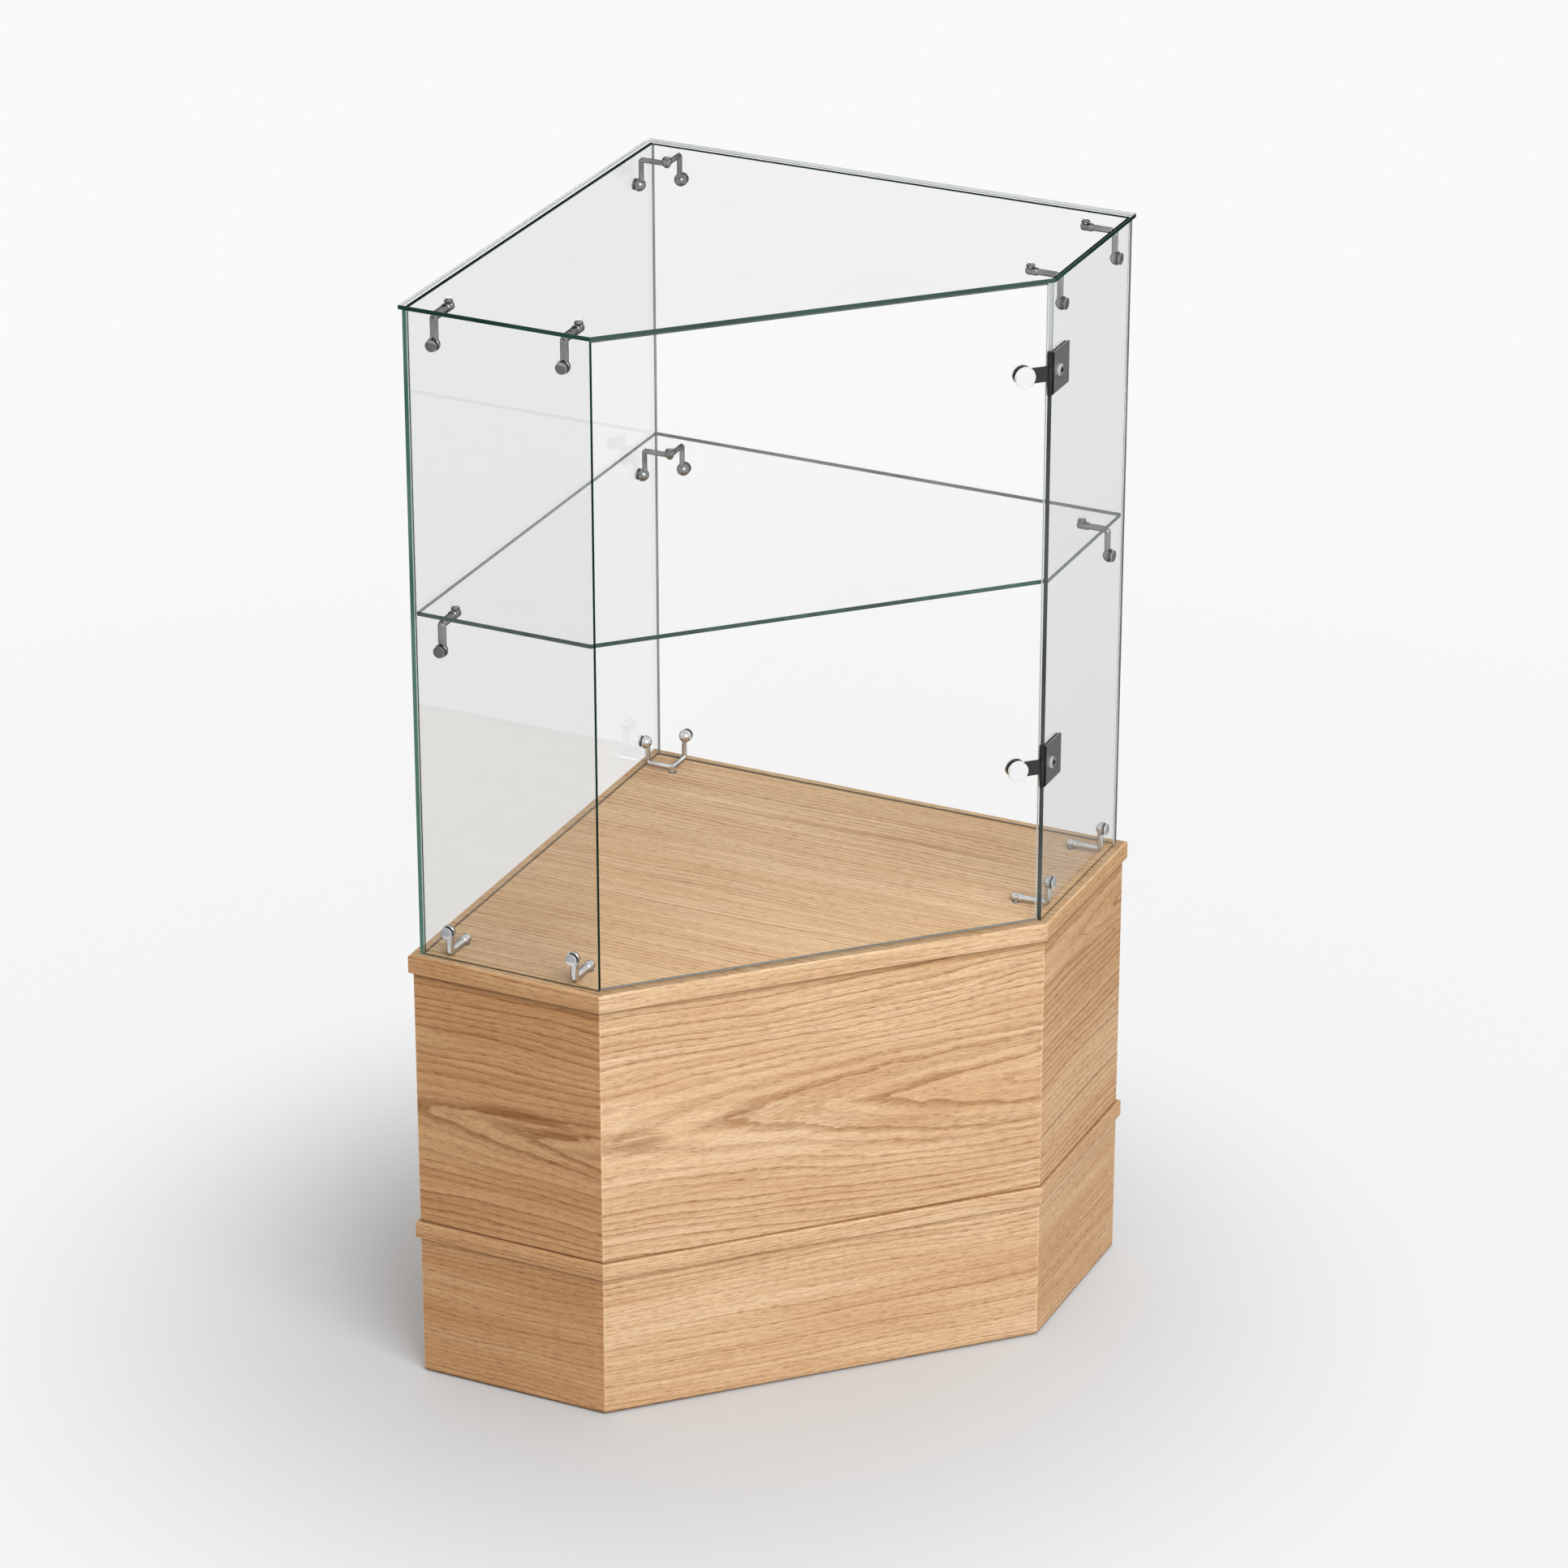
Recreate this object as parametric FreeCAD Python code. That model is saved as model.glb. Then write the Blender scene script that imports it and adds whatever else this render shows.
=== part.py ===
import FreeCAD, Part
import math
import os

# Corner display case, in millimetres, +Z up, origin on the floor under the middle of the plan.
# The plan is a square with one corner cut off. Its back corner is at -X +Y, the two long back walls run
# along X and Y from there, and the cut corner, where the glass door hangs, faces +X -Y.

Vector = FreeCAD.Vector
UP = Vector(0, 0, 1)
ROOT2 = math.sqrt(2)

# Driving dimensions of the plan and of the heights
side = 600.0               # each long back wall of the base, outside
short_side = 230.0         # each short side of the base, outside
glide_height = 2.5         # floor glides hold the plinth off the floor
plinth_height = 172.0
band_thickness = 20.0      # bottom board of the base, seen outside as a band
base_height = 530.0        # floor to the top of the slab
slab_thickness = 22.0
wall_height = 757.0        # glass walls, from the slab to the top plate
shelf_height = 405.5       # slab to the underside of the shelf
glass_thickness = 5.0

# Base boards and what joins them
board = 18.0               # panels of the base and of the plinth
slab_overhang = 4.0        # past the panels, all round
band_overhang = 4.0
slab_round = 2.0           # eased edges of the slab
band_round = 1.0
corner_ease = 0.8          # flat on each side of the outer corners of the panels
batten_leg = 45.0          # triangular corner battens inside the base
block_leg = 70.0           # triangular corner blocks inside the plinth
dowel_radius = 4.0
dowel_in_panel = 24.0
dowel_in_board = 12.0
dowel_clearance = 0.1      # glue gap round a dowel
dowel_relief = 1.0         # spare depth at the far end of a dowel hole
slab_dowel_shares = (0.25, 0.75)    # places along a panel
band_dowel_shares = (0.25, 0.75)
plinth_dowel_shares = (0.12, 0.88)
glide_radius = 11.0
nail_radius = 1.5
nail_length = 14.0
nail_clearance = 0.1

# Glass
glass_inset = 6.0          # outside of the glass, behind the faces of the base panels
top_overhang = 3.0         # top plate past the glass walls
joint_gap = 0.5            # between two panes that meet at a corner
shelf_gap = 1.0            # shelf to the glass walls
shelf_door_gap = 4.0       # shelf to the door
door_gap = 2.0             # door to the slab and to the top plate
door_end_gap = 1.0         # between the mitred ends of the door and of the left pane
glass_hole_radius = 3.5
glass_arris = 0.5          # ground-off edges of every pane

# Clips: bent rods with an eye at the upright end and a boss at the level end
clip_inset = 34.0          # plain clip to the outer corner of its pane
corner_inset = 42.0        # leg of a corner bracket to the back corner
clip_leg = 36.0            # middle of an eye or boss to the face that the other leg lies on
slab_clip_leg = 32.0       # the same for the upright legs on the slab
slab_clip_arm = 40.0       # the same for their level legs
rod_radius = 4.4
rod_bend = 7.0
eye_radius = 7.8
eye_thickness = 9.4
eye_chamfer = 0.8
boss_radius = 5.6          # at the end of a level leg and at the elbow of a corner bracket
boss_chamfer = 0.4
washer_thickness = 0.5
washer_radius = 6.5
boss_washer_radius = 5.0

# Screws of the clips
screw_radius = 2.4
screw_clearance = 0.1
screw_head_radius = 5.0
screw_head_height = 1.8
screw_head_round = 1.2
screw_relief = 0.5         # screw tip short of the far side of its eye
flush_head_radius = 4.8    # countersunk heads in the top plate and the shelf
countersink_clearance = 0.2
base_screw_bite = 14.0     # into the slab
base_screw_relief = 1.0    # spare depth of the pilot hole in the slab

# Hinges
upper_hinge_drop = 103.0   # top plate to the middle of the upper hinge
lower_hinge_rise = 191.0   # slab to the middle of the lower hinge
plate_height = 48.0
plate_length = 44.0
plate_thickness = 2.2
plate_corner = 2.0         # rounded corners of the plates, behind
pad_thickness = 0.8        # soft pads between the plates and the glass
pad_margin = 1.0
knuckle_radius = 3.0
knuckle_overlap = 1.0      # how far a knuckle runs into the lip that carries it
knuckle_lift = 0.5         # knuckle clear of the face of the door
pocket_clearance = 0.5     # room for the arm's knuckle in the lip
lip_gap = 2.8              # end of the lip to the plane of the back plate
door_lip_gap = 1.2         # end of the door to the lip
pin_radius = 1.5
pin_clearance = 0.05
pin_head_radius = 2.6
pin_head_height = 1.2
arm_height = 18.0
arm_thickness = 3.0
arm_reach = 29.0           # hinge axis to the middle of the cap
arm_round = 1.2
knuckle_gap = 0.3          # arm's knuckle to the knuckles above and below
cap_radius = 12.0
cap_height = 3.2
cap_round = 1.0
stud_radius = 3.9
stud_clearance = 0.1
stud_hole_radius = 5.0     # in the glass of the door
door_pad_thickness = 1.0
inner_disc_radius = 11.0
inner_disc_thickness = 3.0
bolt_setback = 12.0        # clamp bolt to the front edge of the right pane
bolt_radius = 3.0
bolt_clearance = 0.1
bolt_hole_radius = 5.0     # in the glass
bolt_head_radius = 7.0
bolt_head_height = 4.0
bolt_head_round = 2.4
socket_across = 4.0
socket_depth = 2.5

# Levels and faces worked out from the sizes above
plinth_top = glide_height + plinth_height
band_top = plinth_top + band_thickness
slab_bottom = base_height - slab_thickness
glass_top = base_height + wall_height
shelf_bottom = base_height + shelf_height
hinge_heights = {"upper": glass_top - upper_hinge_drop, "lower": base_height + lower_hinge_rise}
glass_out = side / 2 - glass_inset           # outer faces of the glass walls, from the middle
glass_in = glass_out - glass_thickness
door_out = short_side - glass_inset * ROOT2  # x - y on the outer face of the door
door_in = door_out - glass_thickness * ROOT2
front_y = glass_out - door_out               # front end of the right pane, at the corner of the door
along_door = Vector(-1, -1, 0) / ROOT2       # from the hinges to the free end
out_of_door = Vector(1, -1, 0) / ROOT2
WALLS = ("back_right", "right", "front", "left", "back_left")

nodes = {}


def save(name, *solids):
    """Adds solids to a node."""
    nodes.setdefault(name, []).extend(solids)


def outline(offset, front_offset=None):
    """Corners of the plan, moved out by offset from the faces of the base panels: back, right, right front,
    left front, left. The cut corner moves by front_offset if that is given."""
    if front_offset is None:
        front_offset = offset
    half = side / 2 + offset
    reach = short_side + front_offset * ROOT2
    return [
        Vector(-half, half, 0),
        Vector(half, half, 0),
        Vector(half, half - reach, 0),
        Vector(reach - half, -half, 0),
        Vector(-half, -half, 0),
    ]


def prism(points, low, high):
    """Upright solid over a plan outline."""
    lifted = [p + UP * low for p in points]
    face = Part.Face(Part.makePolygon(lifted + lifted[:1]))
    return face.extrude(UP * (high - low))


def block(low, high):
    """Box between two corners."""
    size = high - low
    return Part.makeBox(size.x, size.y, size.z, low)


def arrised(pane):
    """Pane with all its edges ground off."""
    return pane.makeChamfer(glass_arris, pane.Edges)


def rounded_behind(plate):
    """Hinge plate with the two corners that lie away from the hinge axis rounded."""
    rear = plate.BoundBox.YMax
    across = [e for e in plate.Edges if abs(e.tangentAt(e.FirstParameter).x) > 0.5]
    return plate.makeFillet(plate_corner, [e for e in across if abs(e.CenterOfMass.y - rear) < 1e-6])


def circles(shape):
    """The round edges of a shape."""
    return [e for e in shape.Edges if e.Curve.TypeId == "Part::GeomCircle"]


def disc(radius, thickness, base, axis, chamfer=0.0):
    """Round plate from base along axis, with both rims chamfered."""
    shape = Part.makeCylinder(radius, thickness, base, axis)
    if chamfer:
        shape = shape.makeChamfer(chamfer, circles(shape))
    return shape


def ring(radius, hole, thickness, base, axis):
    """Washer from base along axis."""
    outer = Part.makeCylinder(radius, thickness, base, axis)
    return outer.cut(Part.makeCylinder(hole, thickness, base, axis))


def headed(head_radius, head_height, head_round, shank_radius, shank_length, seat, axis):
    """Fastener with a rounded head that sits at seat, and a shank that runs from there along axis."""
    head = Part.makeCylinder(head_radius, head_height, seat, axis * -1)
    crown = seat - axis * head_height
    rims = [e for e in circles(head) if (e.Curve.Center - crown).Length < 1e-6]
    head = head.makeFillet(head_round, rims)
    return head.fuse(Part.makeCylinder(shank_radius, shank_length, seat, axis)).removeSplitter()


def countersunk(head_radius, shank_radius, length, top, axis):
    """Flush screw: a 90 degree cone under its flat head, then a shank along axis."""
    depth = head_radius - shank_radius
    cone = Part.makeCone(head_radius, shank_radius, depth, top, axis)
    shank = Part.makeCylinder(shank_radius, length - depth, top + axis * depth, axis)
    return cone.fuse(shank).removeSplitter()


def bent_rod(points, radius, bend):
    """Round rod along a line of points, with a bend of one radius at each inner point."""
    edges = []
    start = points[0]
    for before, corner, after in zip(points, points[1:], points[2:]):
        into = (corner - before).normalize()
        out = (after - corner).normalize()
        first = corner - into * bend
        last = corner + out * bend
        centre = first + out * bend
        middle = centre + (corner - centre).normalize() * bend
        edges.append(Part.LineSegment(start, first).toShape())
        edges.append(Part.Arc(first, middle, last).toShape())
        start = last
    edges.append(Part.LineSegment(start, points[-1]).toShape())
    section = Part.Wire(Part.makeCircle(radius, points[0], points[1] - points[0]))
    return Part.Wire(edges).makePipeShell([section], True, False)


# Base: slab, panels, bottom board, plinth and what joins them


def panel_line(edge, share):
    """Point along the middle of a base panel's thickness."""
    corners = outline(-board / 2)
    first = corners[edge]
    last = corners[(edge + 1) % len(corners)]
    return first + (last - first) * share


def mitred_panel(edge, low, high):
    """Upright board along one edge of the plan, mitred at both ends."""
    outer = outline(0)
    inner = outline(-board)
    after = (edge + 1) % len(outer)
    first, last = outer[edge], outer[after]
    along = (last - first).normalize()
    eased = []
    for corner, inside, way in ((first, inner[edge], along), (last, inner[after], along * -1)):
        mitre = (inside - corner).normalize()
        eased.append((corner + way * corner_ease, corner + mitre * (corner_ease * way.dot(mitre))))
    (face_first, mitre_first), (face_last, mitre_last) = eased
    return prism([face_first, face_last, mitre_last, inner[after], inner[edge], mitre_first], low, high)


def dowel_places(shares):
    """Points on the panels' middle line, for every panel."""
    return [panel_line(edge, share) for edge in range(len(WALLS)) for share in shares]


def dowel(place, low, high):
    """Round wooden dowel."""
    return Part.makeCylinder(dowel_radius, high - low, place + UP * low)


def dowel_hole(place, low, high):
    """Hole for a dowel, with a glue gap round it."""
    return Part.makeCylinder(dowel_radius + dowel_clearance, high - low, place + UP * low)


def eased_board(overhang, low, high, rounding):
    """Board over the whole plan, with its outer edges rounded."""
    shape = prism(outline(overhang), low, high)
    level = [e for e in shape.Edges if abs(e.tangentAt(e.FirstParameter).z) < 1e-6]
    return shape.makeFillet(rounding, level)


def corner_triangle(corner, leg):
    """Corner, next and previous point of a triangular block that fills an inside corner of the panels."""
    inner = outline(-board)
    tip = inner[corner]
    ahead = (inner[(corner + 1) % len(inner)] - tip).normalize()
    behind = (inner[corner - 1] - tip).normalize()
    return tip, tip + ahead * leg, tip + behind * leg


def block_middle(corner, leg):
    """Middle of the circle that fits in a corner block."""
    tip, ahead, behind = corner_triangle(corner, leg)
    bisector = (ahead - tip) + (behind - tip)
    half_angle = math.radians(math.degrees((ahead - tip).getAngle(behind - tip)) / 2)
    inside = leg * math.sin(2 * half_angle) / (2 * (1 + math.sin(half_angle)))
    return tip + bisector.normalize() * (inside / math.sin(half_angle))


def build_base():
    """Slab, bottom board, two rings of mitred panels, corner battens and blocks, dowels and glides."""
    slab = eased_board(slab_overhang, slab_bottom, base_height, slab_round)
    band = eased_board(band_overhang, plinth_top, band_top, band_round)
    body = [mitred_panel(edge, band_top, slab_bottom) for edge in range(len(WALLS))]
    plinth = [mitred_panel(edge, glide_height, plinth_top) for edge in range(len(WALLS))]

    # Each joint: its places, the seam between the two boards, and its node
    for shares, seam, upward, name in (
        (slab_dowel_shares, slab_bottom, True, "slab_dowels"),
        (band_dowel_shares, band_top, False, "base_dowels"),
        (plinth_dowel_shares, plinth_top, True, "plinth_dowels"),
    ):
        below = dowel_in_panel if upward else dowel_in_board
        above = dowel_in_board if upward else dowel_in_panel
        holes = []
        for place in dowel_places(shares):
            save(name, dowel(place, seam - below, seam + above))
            holes.append(dowel_hole(place, seam - below, seam + above + dowel_relief))
        if name == "slab_dowels":
            slab = slab.cut(holes)
        else:
            band = band.cut(holes)
        ring_of_panels = plinth if name == "plinth_dowels" else body
        for edge, panel in enumerate(ring_of_panels):
            count = len(shares)
            ring_of_panels[edge] = panel.cut(holes[edge * count:(edge + 1) * count])

    for place in clip_places(every_clip, 1):
        slab = slab.cut(Part.makeCylinder(
            screw_radius + screw_clearance,
            base_screw_bite + base_screw_relief,
            place + UP * base_height,
            UP * -1,
        ))
    save("base_slab", slab)
    save("base_board", band)
    for wall, panel, skirt in zip(WALLS, body, plinth):
        save("base_panel_" + wall, panel)
        save("plinth_panel_" + wall, skirt)

    for corner in range(len(WALLS)):
        save("base_corner_battens", prism(corner_triangle(corner, batten_leg), band_top, slab_bottom))
        foot = block_middle(corner, block_leg) + UP * glide_height
        brace = prism(corner_triangle(corner, block_leg), glide_height, plinth_top)
        nail_hole = Part.makeCylinder(nail_radius + nail_clearance, nail_length, foot)
        save("plinth_corner_blocks", brace.cut(nail_hole))
        glide = disc(glide_radius, glide_height, foot, UP * -1)
        nail = Part.makeCylinder(nail_radius, nail_length - nail_clearance, foot)
        save("floor_glides", glide.fuse(nail))


# Glass clips: where they stand, and their pieces


def wall_clips():
    """Foot of each plain clip on its pane's inner face, the way into the case, and its name."""
    left = Vector(0, -glass_in, 0)
    right = Vector(glass_in, 0, 0)
    rear = glass_out - clip_inset
    return [
        (left + Vector(-rear, 0, 0), Vector(0, 1, 0), "left_rear"),
        (left + Vector(-front_y - clip_inset, 0, 0), Vector(0, 1, 0), "left_front"),
        (right + Vector(0, rear, 0), Vector(-1, 0, 0), "right_rear"),
        (right + Vector(0, front_y + clip_inset, 0), Vector(-1, 0, 0), "right_front"),
    ]


def corner_feet():
    """The same for the two legs of a corner bracket: on the left and on the right back pane."""
    place = glass_out - corner_inset
    return [
        (Vector(-glass_in, place, 0), Vector(1, 0, 0)),
        (Vector(-place, glass_in, 0), Vector(0, -1, 0)),
    ]


def level_end(foot, inward, sense):
    """Plan point of the boss of a plain clip."""
    return foot + inward * (slab_clip_arm if sense > 0 else clip_leg)


def elbow_place():
    """Plan point of the boss of a corner bracket."""
    place = glass_out - corner_inset
    return Vector(-place, place, 0)


def clip_places(names, sense):
    """Plan point of every boss on a level face: the plain clips named, then the corner bracket."""
    chosen = [clip for clip in wall_clips() if clip[2] in names]
    return [level_end(foot, inward, sense) for foot, inward, name in chosen] + [elbow_place()]


def eye_height(level, sense):
    """Height of the eyes of the upright legs. Sense is +1 where the clips stand on a level face."""
    return level + sense * (slab_clip_leg if sense > 0 else clip_leg)


every_clip = tuple(name for foot, inward, name in wall_clips())
rear_clips = ("left_rear", "right_rear")
stand = washer_thickness + eye_thickness / 2      # middle of a rod, off the face that it lies on
eye_hole = screw_radius + screw_clearance


def wall_eye(foot, inward, level, sense):
    """Eye of an upright leg, and the hole through it."""
    middle = foot + UP * eye_height(level, sense)
    eye = disc(eye_radius, eye_thickness, middle + inward * washer_thickness, inward, eye_chamfer)
    return eye, Part.makeCylinder(eye_hole, eye_thickness, middle + inward * washer_thickness, inward)


def level_boss(place, level, sense):
    """Boss of a level leg, and the hole through it."""
    base = place + UP * (level + sense * washer_thickness)
    boss = disc(boss_radius, eye_thickness, base, UP * sense, boss_chamfer)
    return boss, Part.makeCylinder(eye_hole, eye_thickness, base, UP * sense)


def plain_clip(foot, inward, level, sense):
    """L-shaped clip: one leg on a pane, the other on a level face."""
    corner = foot + inward * stand + UP * (level + sense * stand)
    tip = foot + inward * stand + UP * eye_height(level, sense)
    place = level_end(foot, inward, sense)
    rod = bent_rod([tip, corner, place + UP * (level + sense * stand)], rod_radius, rod_bend)
    eye, hole = wall_eye(foot, inward, level, sense)
    boss, boss_hole = level_boss(place, level, sense)
    return rod.fuse([eye, boss]).cut([hole, boss_hole]).removeSplitter()


def corner_bracket(level, sense):
    """Rod with a leg on each back pane and an elbow between them that carries a boss."""
    (foot_a, inward_a), (foot_b, inward_b) = corner_feet()
    rise = UP * (level + sense * stand)
    tip = UP * eye_height(level, sense)
    elbow = elbow_place()
    start = foot_a + inward_a * stand
    end = foot_b + inward_b * stand
    rod = bent_rod([start + tip, start + rise, elbow + rise, end + rise, end + tip], rod_radius, rod_bend)
    eye_a, hole_a = wall_eye(foot_a, inward_a, level, sense)
    eye_b, hole_b = wall_eye(foot_b, inward_b, level, sense)
    boss, boss_hole = level_boss(elbow, level, sense)
    return rod.fuse([eye_a, eye_b, boss]).cut([hole_a, hole_b, boss_hole]).removeSplitter()


def wall_fixing(foot, inward, level, sense):
    """Screw through a pane into an eye, with a soft washer on each face of the glass."""
    inner = foot + UP * eye_height(level, sense)
    outer = inner - inward * glass_thickness
    seat = outer - inward * washer_thickness
    length = 2 * washer_thickness + glass_thickness + eye_thickness - screw_relief
    save("wall_screws", headed(
        screw_head_radius, screw_head_height, screw_head_round, screw_radius, length, seat, inward))
    save("glass_washers", ring(washer_radius, eye_hole, washer_thickness, inner, inward))
    save("glass_washers", ring(washer_radius, eye_hole, washer_thickness, outer, inward * -1))


def plate_fixing(place, top, node):
    """Flush screw down through a glass plate into the eye under it."""
    length = glass_thickness + washer_thickness + eye_thickness - screw_relief
    save(node, countersunk(flush_head_radius, screw_radius, length, place + UP * top, UP * -1))


def slab_fixing(place):
    """Screw down through a boss that lies on the slab."""
    seat = place + UP * (base_height + washer_thickness + eye_thickness)
    length = washer_thickness + eye_thickness + base_screw_bite
    save("base_screws", headed(
        screw_head_radius, screw_head_height, screw_head_round, screw_radius, length, seat, UP * -1))


def build_clips():
    """Clips, corner brackets, screws and washers at the top plate, the shelf and the slab."""
    for stage, level, sense, names in (
        ("top", glass_top, -1, every_clip),
        ("shelf", shelf_bottom, -1, rear_clips),
        ("base", base_height, 1, every_clip),
    ):
        feet = [(foot, inward, name) for foot, inward, name in wall_clips() if name in names]
        for foot, inward, name in feet:
            save("clip_" + stage + "_" + name, plain_clip(foot, inward, level, sense))
            wall_fixing(foot, inward, level, sense)
        save("corner_bracket_" + stage, corner_bracket(level, sense))
        for foot, inward in corner_feet():
            wall_fixing(foot, inward, level, sense)

        for place in clip_places(names, sense):
            foot = place + UP * level
            save("glass_washers", ring(boss_washer_radius, eye_hole, washer_thickness, foot, UP * sense))
            if stage == "base":
                slab_fixing(place)
            else:
                plate_fixing(place, level + glass_thickness, stage + "_screws")


# Glass: four walls, the top plate, the shelf and the door


def wall_holes(pane_feet, levels):
    """Screw holes through a pane, for feet on its inner face at each level."""
    holes = []
    for foot, inward in pane_feet:
        for level, sense in levels:
            middle = foot + UP * eye_height(level, sense)
            holes.append(Part.makeCylinder(glass_hole_radius, glass_thickness, middle, inward * -1))
    return holes


def plate_holes(places, top):
    """Countersunk holes through a level plate."""
    mouth = flush_head_radius + countersink_clearance
    holes = []
    for place in places:
        holes.append(Part.makeCylinder(glass_hole_radius, glass_thickness, place + UP * top, UP * -1))
        depth = mouth - glass_hole_radius
        holes.append(Part.makeCone(mouth, glass_hole_radius, depth, place + UP * top, UP * -1))
    return holes


mitre_setback = door_end_gap / 2 / math.sin(math.radians(67.5))   # each end to the mitre line, along its pane


def mitre_line():
    """Plan points where the outer and the inner faces of the left pane and of the door meet."""
    return [Vector(door_out - glass_out, -glass_out, 0), Vector(door_in - glass_in, -glass_in, 0)]


def build_glass():
    """Panes that stand on the slab, the plate on top of them, and the shelf."""
    top, shelf, base = (glass_top, -1), (shelf_bottom, -1), (base_height, 1)
    low, high = base_height, glass_top
    clips = {name: (foot, inward) for foot, inward, name in wall_clips()}
    foot_a, foot_b = corner_feet()

    pane = arrised(block(Vector(-glass_out, -glass_out, low), Vector(-glass_in, glass_out, high)))
    save("glass_back_left", pane.cut(wall_holes([foot_a], [top, shelf, base])))
    pane = arrised(block(Vector(joint_gap - glass_in, glass_in, low), Vector(glass_out, glass_out, high)))
    save("glass_back_right", pane.cut(wall_holes([foot_b], [top, shelf, base])))

    # The front end of the left pane is mitred to meet the free end of the door
    rear_end = [Vector(joint_gap - glass_in, y, 0) for y in (-glass_in, -glass_out)]
    front_end = [p - Vector(mitre_setback, 0, 0) for p in mitre_line()]
    pane = arrised(prism(rear_end + front_end, low, high))
    holes = wall_holes([clips["left_rear"]], [top, shelf, base])
    save("glass_left", pane.cut(holes + wall_holes([clips["left_front"]], [top, base])))

    pane = arrised(block(Vector(glass_in, front_y, low), Vector(glass_out, glass_in - joint_gap, high)))
    holes = wall_holes([clips["right_rear"]], [top, shelf, base])
    holes += wall_holes([clips["right_front"]], [top, base])
    for height in hinge_heights.values():
        bolt = Vector(glass_in, front_y + bolt_setback, height)
        holes.append(Part.makeCylinder(bolt_hole_radius, glass_thickness, bolt, Vector(1, 0, 0)))
    save("glass_right", pane.cut(holes))

    plate_top = glass_top + glass_thickness
    plate = arrised(prism(outline(top_overhang - glass_inset), glass_top, plate_top))
    save("glass_top", plate.cut(plate_holes(clip_places(every_clip, -1), plate_top)))

    shelf_top = shelf_bottom + glass_thickness
    walls_offset = -glass_inset - glass_thickness - shelf_gap
    front_offset = -glass_inset - glass_thickness - shelf_door_gap
    board_shape = arrised(prism(outline(walls_offset, front_offset), shelf_bottom, shelf_top))
    places = clip_places(rear_clips, -1)
    save("glass_shelf", board_shape.cut(plate_holes(places, shelf_top)))


# Door and hinges. Hinge places are counted along the door from the hinge axis and out of its outer face.

door_face = -knuckle_radius - knuckle_lift             # outer face of the door, from the hinge axis
arm_face = door_face + door_pad_thickness              # arm's face towards the door
arm_outside = arm_face + arm_thickness
lip_front = front_y - pad_thickness - plate_thickness  # front face of the lip
axis_y = lip_front + knuckle_overlap - knuckle_radius
axis_x = axis_y + door_out - door_face * ROOT2
hinge_axis = Vector(axis_x, axis_y, 0)
plate_in = glass_out + pad_thickness                   # hinge body's plate, outside the right pane
plate_out = plate_in + plate_thickness
back_out = glass_in - pad_thickness                    # back plate, inside the right pane
back_in = back_out - plate_thickness
lip_end = back_out + lip_gap
plate_rear = lip_front + plate_length


def at_hinge(along, out, height):
    """Point counted from the hinge axis, along the door and out of it."""
    return hinge_axis + along_door * along + out_of_door * out + UP * height


def along_of(point):
    """How far along the door from the hinge axis a point lies."""
    return (point - hinge_axis).dot(along_door)


door_start = along_of(Vector(lip_end, lip_front, 0)) + door_lip_gap
door_end_outer, door_end_inner = (along_of(p) - mitre_setback for p in mitre_line())


def door_prism(corners, low, high):
    """Upright solid over corners counted along and out of the door."""
    return prism([at_hinge(along, out, 0) for along, out in corners], low, high)


def hinge_body(height):
    """Plate outside the right pane, a lip round its front edge, and two knuckles on the lip."""
    low = height - plate_height / 2
    high = height + plate_height / 2
    plate = rounded_behind(block(Vector(plate_in, lip_front, low), Vector(plate_out, plate_rear, high)))
    lip = block(Vector(lip_end, lip_front, low), Vector(plate_out, lip_front + plate_thickness, high))
    knuckle = Part.makeCylinder(knuckle_radius, plate_height, hinge_axis + UP * low)
    pocket = Part.makeCylinder(
        knuckle_radius + pocket_clearance, arm_height, hinge_axis + UP * (height - arm_height / 2))
    bore = Part.makeCylinder(pin_radius + pin_clearance, plate_height, hinge_axis + UP * low)
    bolt = Vector(plate_in, front_y + bolt_setback, height)
    bolt_hole = Part.makeCylinder(bolt_radius + bolt_clearance, plate_thickness, bolt, Vector(1, 0, 0))
    return plate.fuse([lip, knuckle]).cut([pocket, bore, bolt_hole]).removeSplitter()


def clamp_pieces(height):
    """Back plate inside the right pane, a pad on each face of the glass, and the bolt through them."""
    low = height - plate_height / 2
    high = height + plate_height / 2
    inward = Vector(-1, 0, 0)
    bolt = Vector(plate_out, front_y + bolt_setback, height)
    back = rounded_behind(block(Vector(back_in, front_y, low), Vector(back_out, plate_rear, high)))
    thread = Part.makeCylinder(bolt_radius + bolt_clearance, plate_out - back_in, bolt, inward)
    glass_bore = Part.makeCylinder(bolt_hole_radius, plate_out - back_in, bolt, inward)
    pads = []
    for face in (glass_out, back_out):
        corner = Vector(face, front_y + pad_margin, low + pad_margin)
        far = Vector(face + pad_thickness, plate_rear - pad_margin, high - pad_margin)
        pads.append(block(corner, far).cut(glass_bore))
    body = headed(bolt_head_radius, bolt_head_height, bolt_head_round, bolt_radius,
                  plate_out - back_in, bolt, inward)
    crown = bolt - inward * bolt_head_height
    corner_reach = socket_across / math.sqrt(3)
    corners = []
    for k in range(6):
        turn = math.radians(60 * k)
        corners.append(crown + Vector(0, math.cos(turn), math.sin(turn)) * corner_reach)
    socket = Part.Face(Part.makePolygon(corners + corners[:1])).extrude(inward * socket_depth)
    return back.cut(thread), pads, body.cut(socket)


def hinge_pin(height):
    """Pin through the three knuckles, with a head on the upper one."""
    foot = hinge_axis + UP * (height - plate_height / 2)
    head = hinge_axis + UP * (height + plate_height / 2)
    pin = Part.makeCylinder(pin_radius, plate_height, foot)
    return pin.fuse(Part.makeCylinder(pin_head_radius, pin_head_height, head)).removeSplitter()


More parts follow.
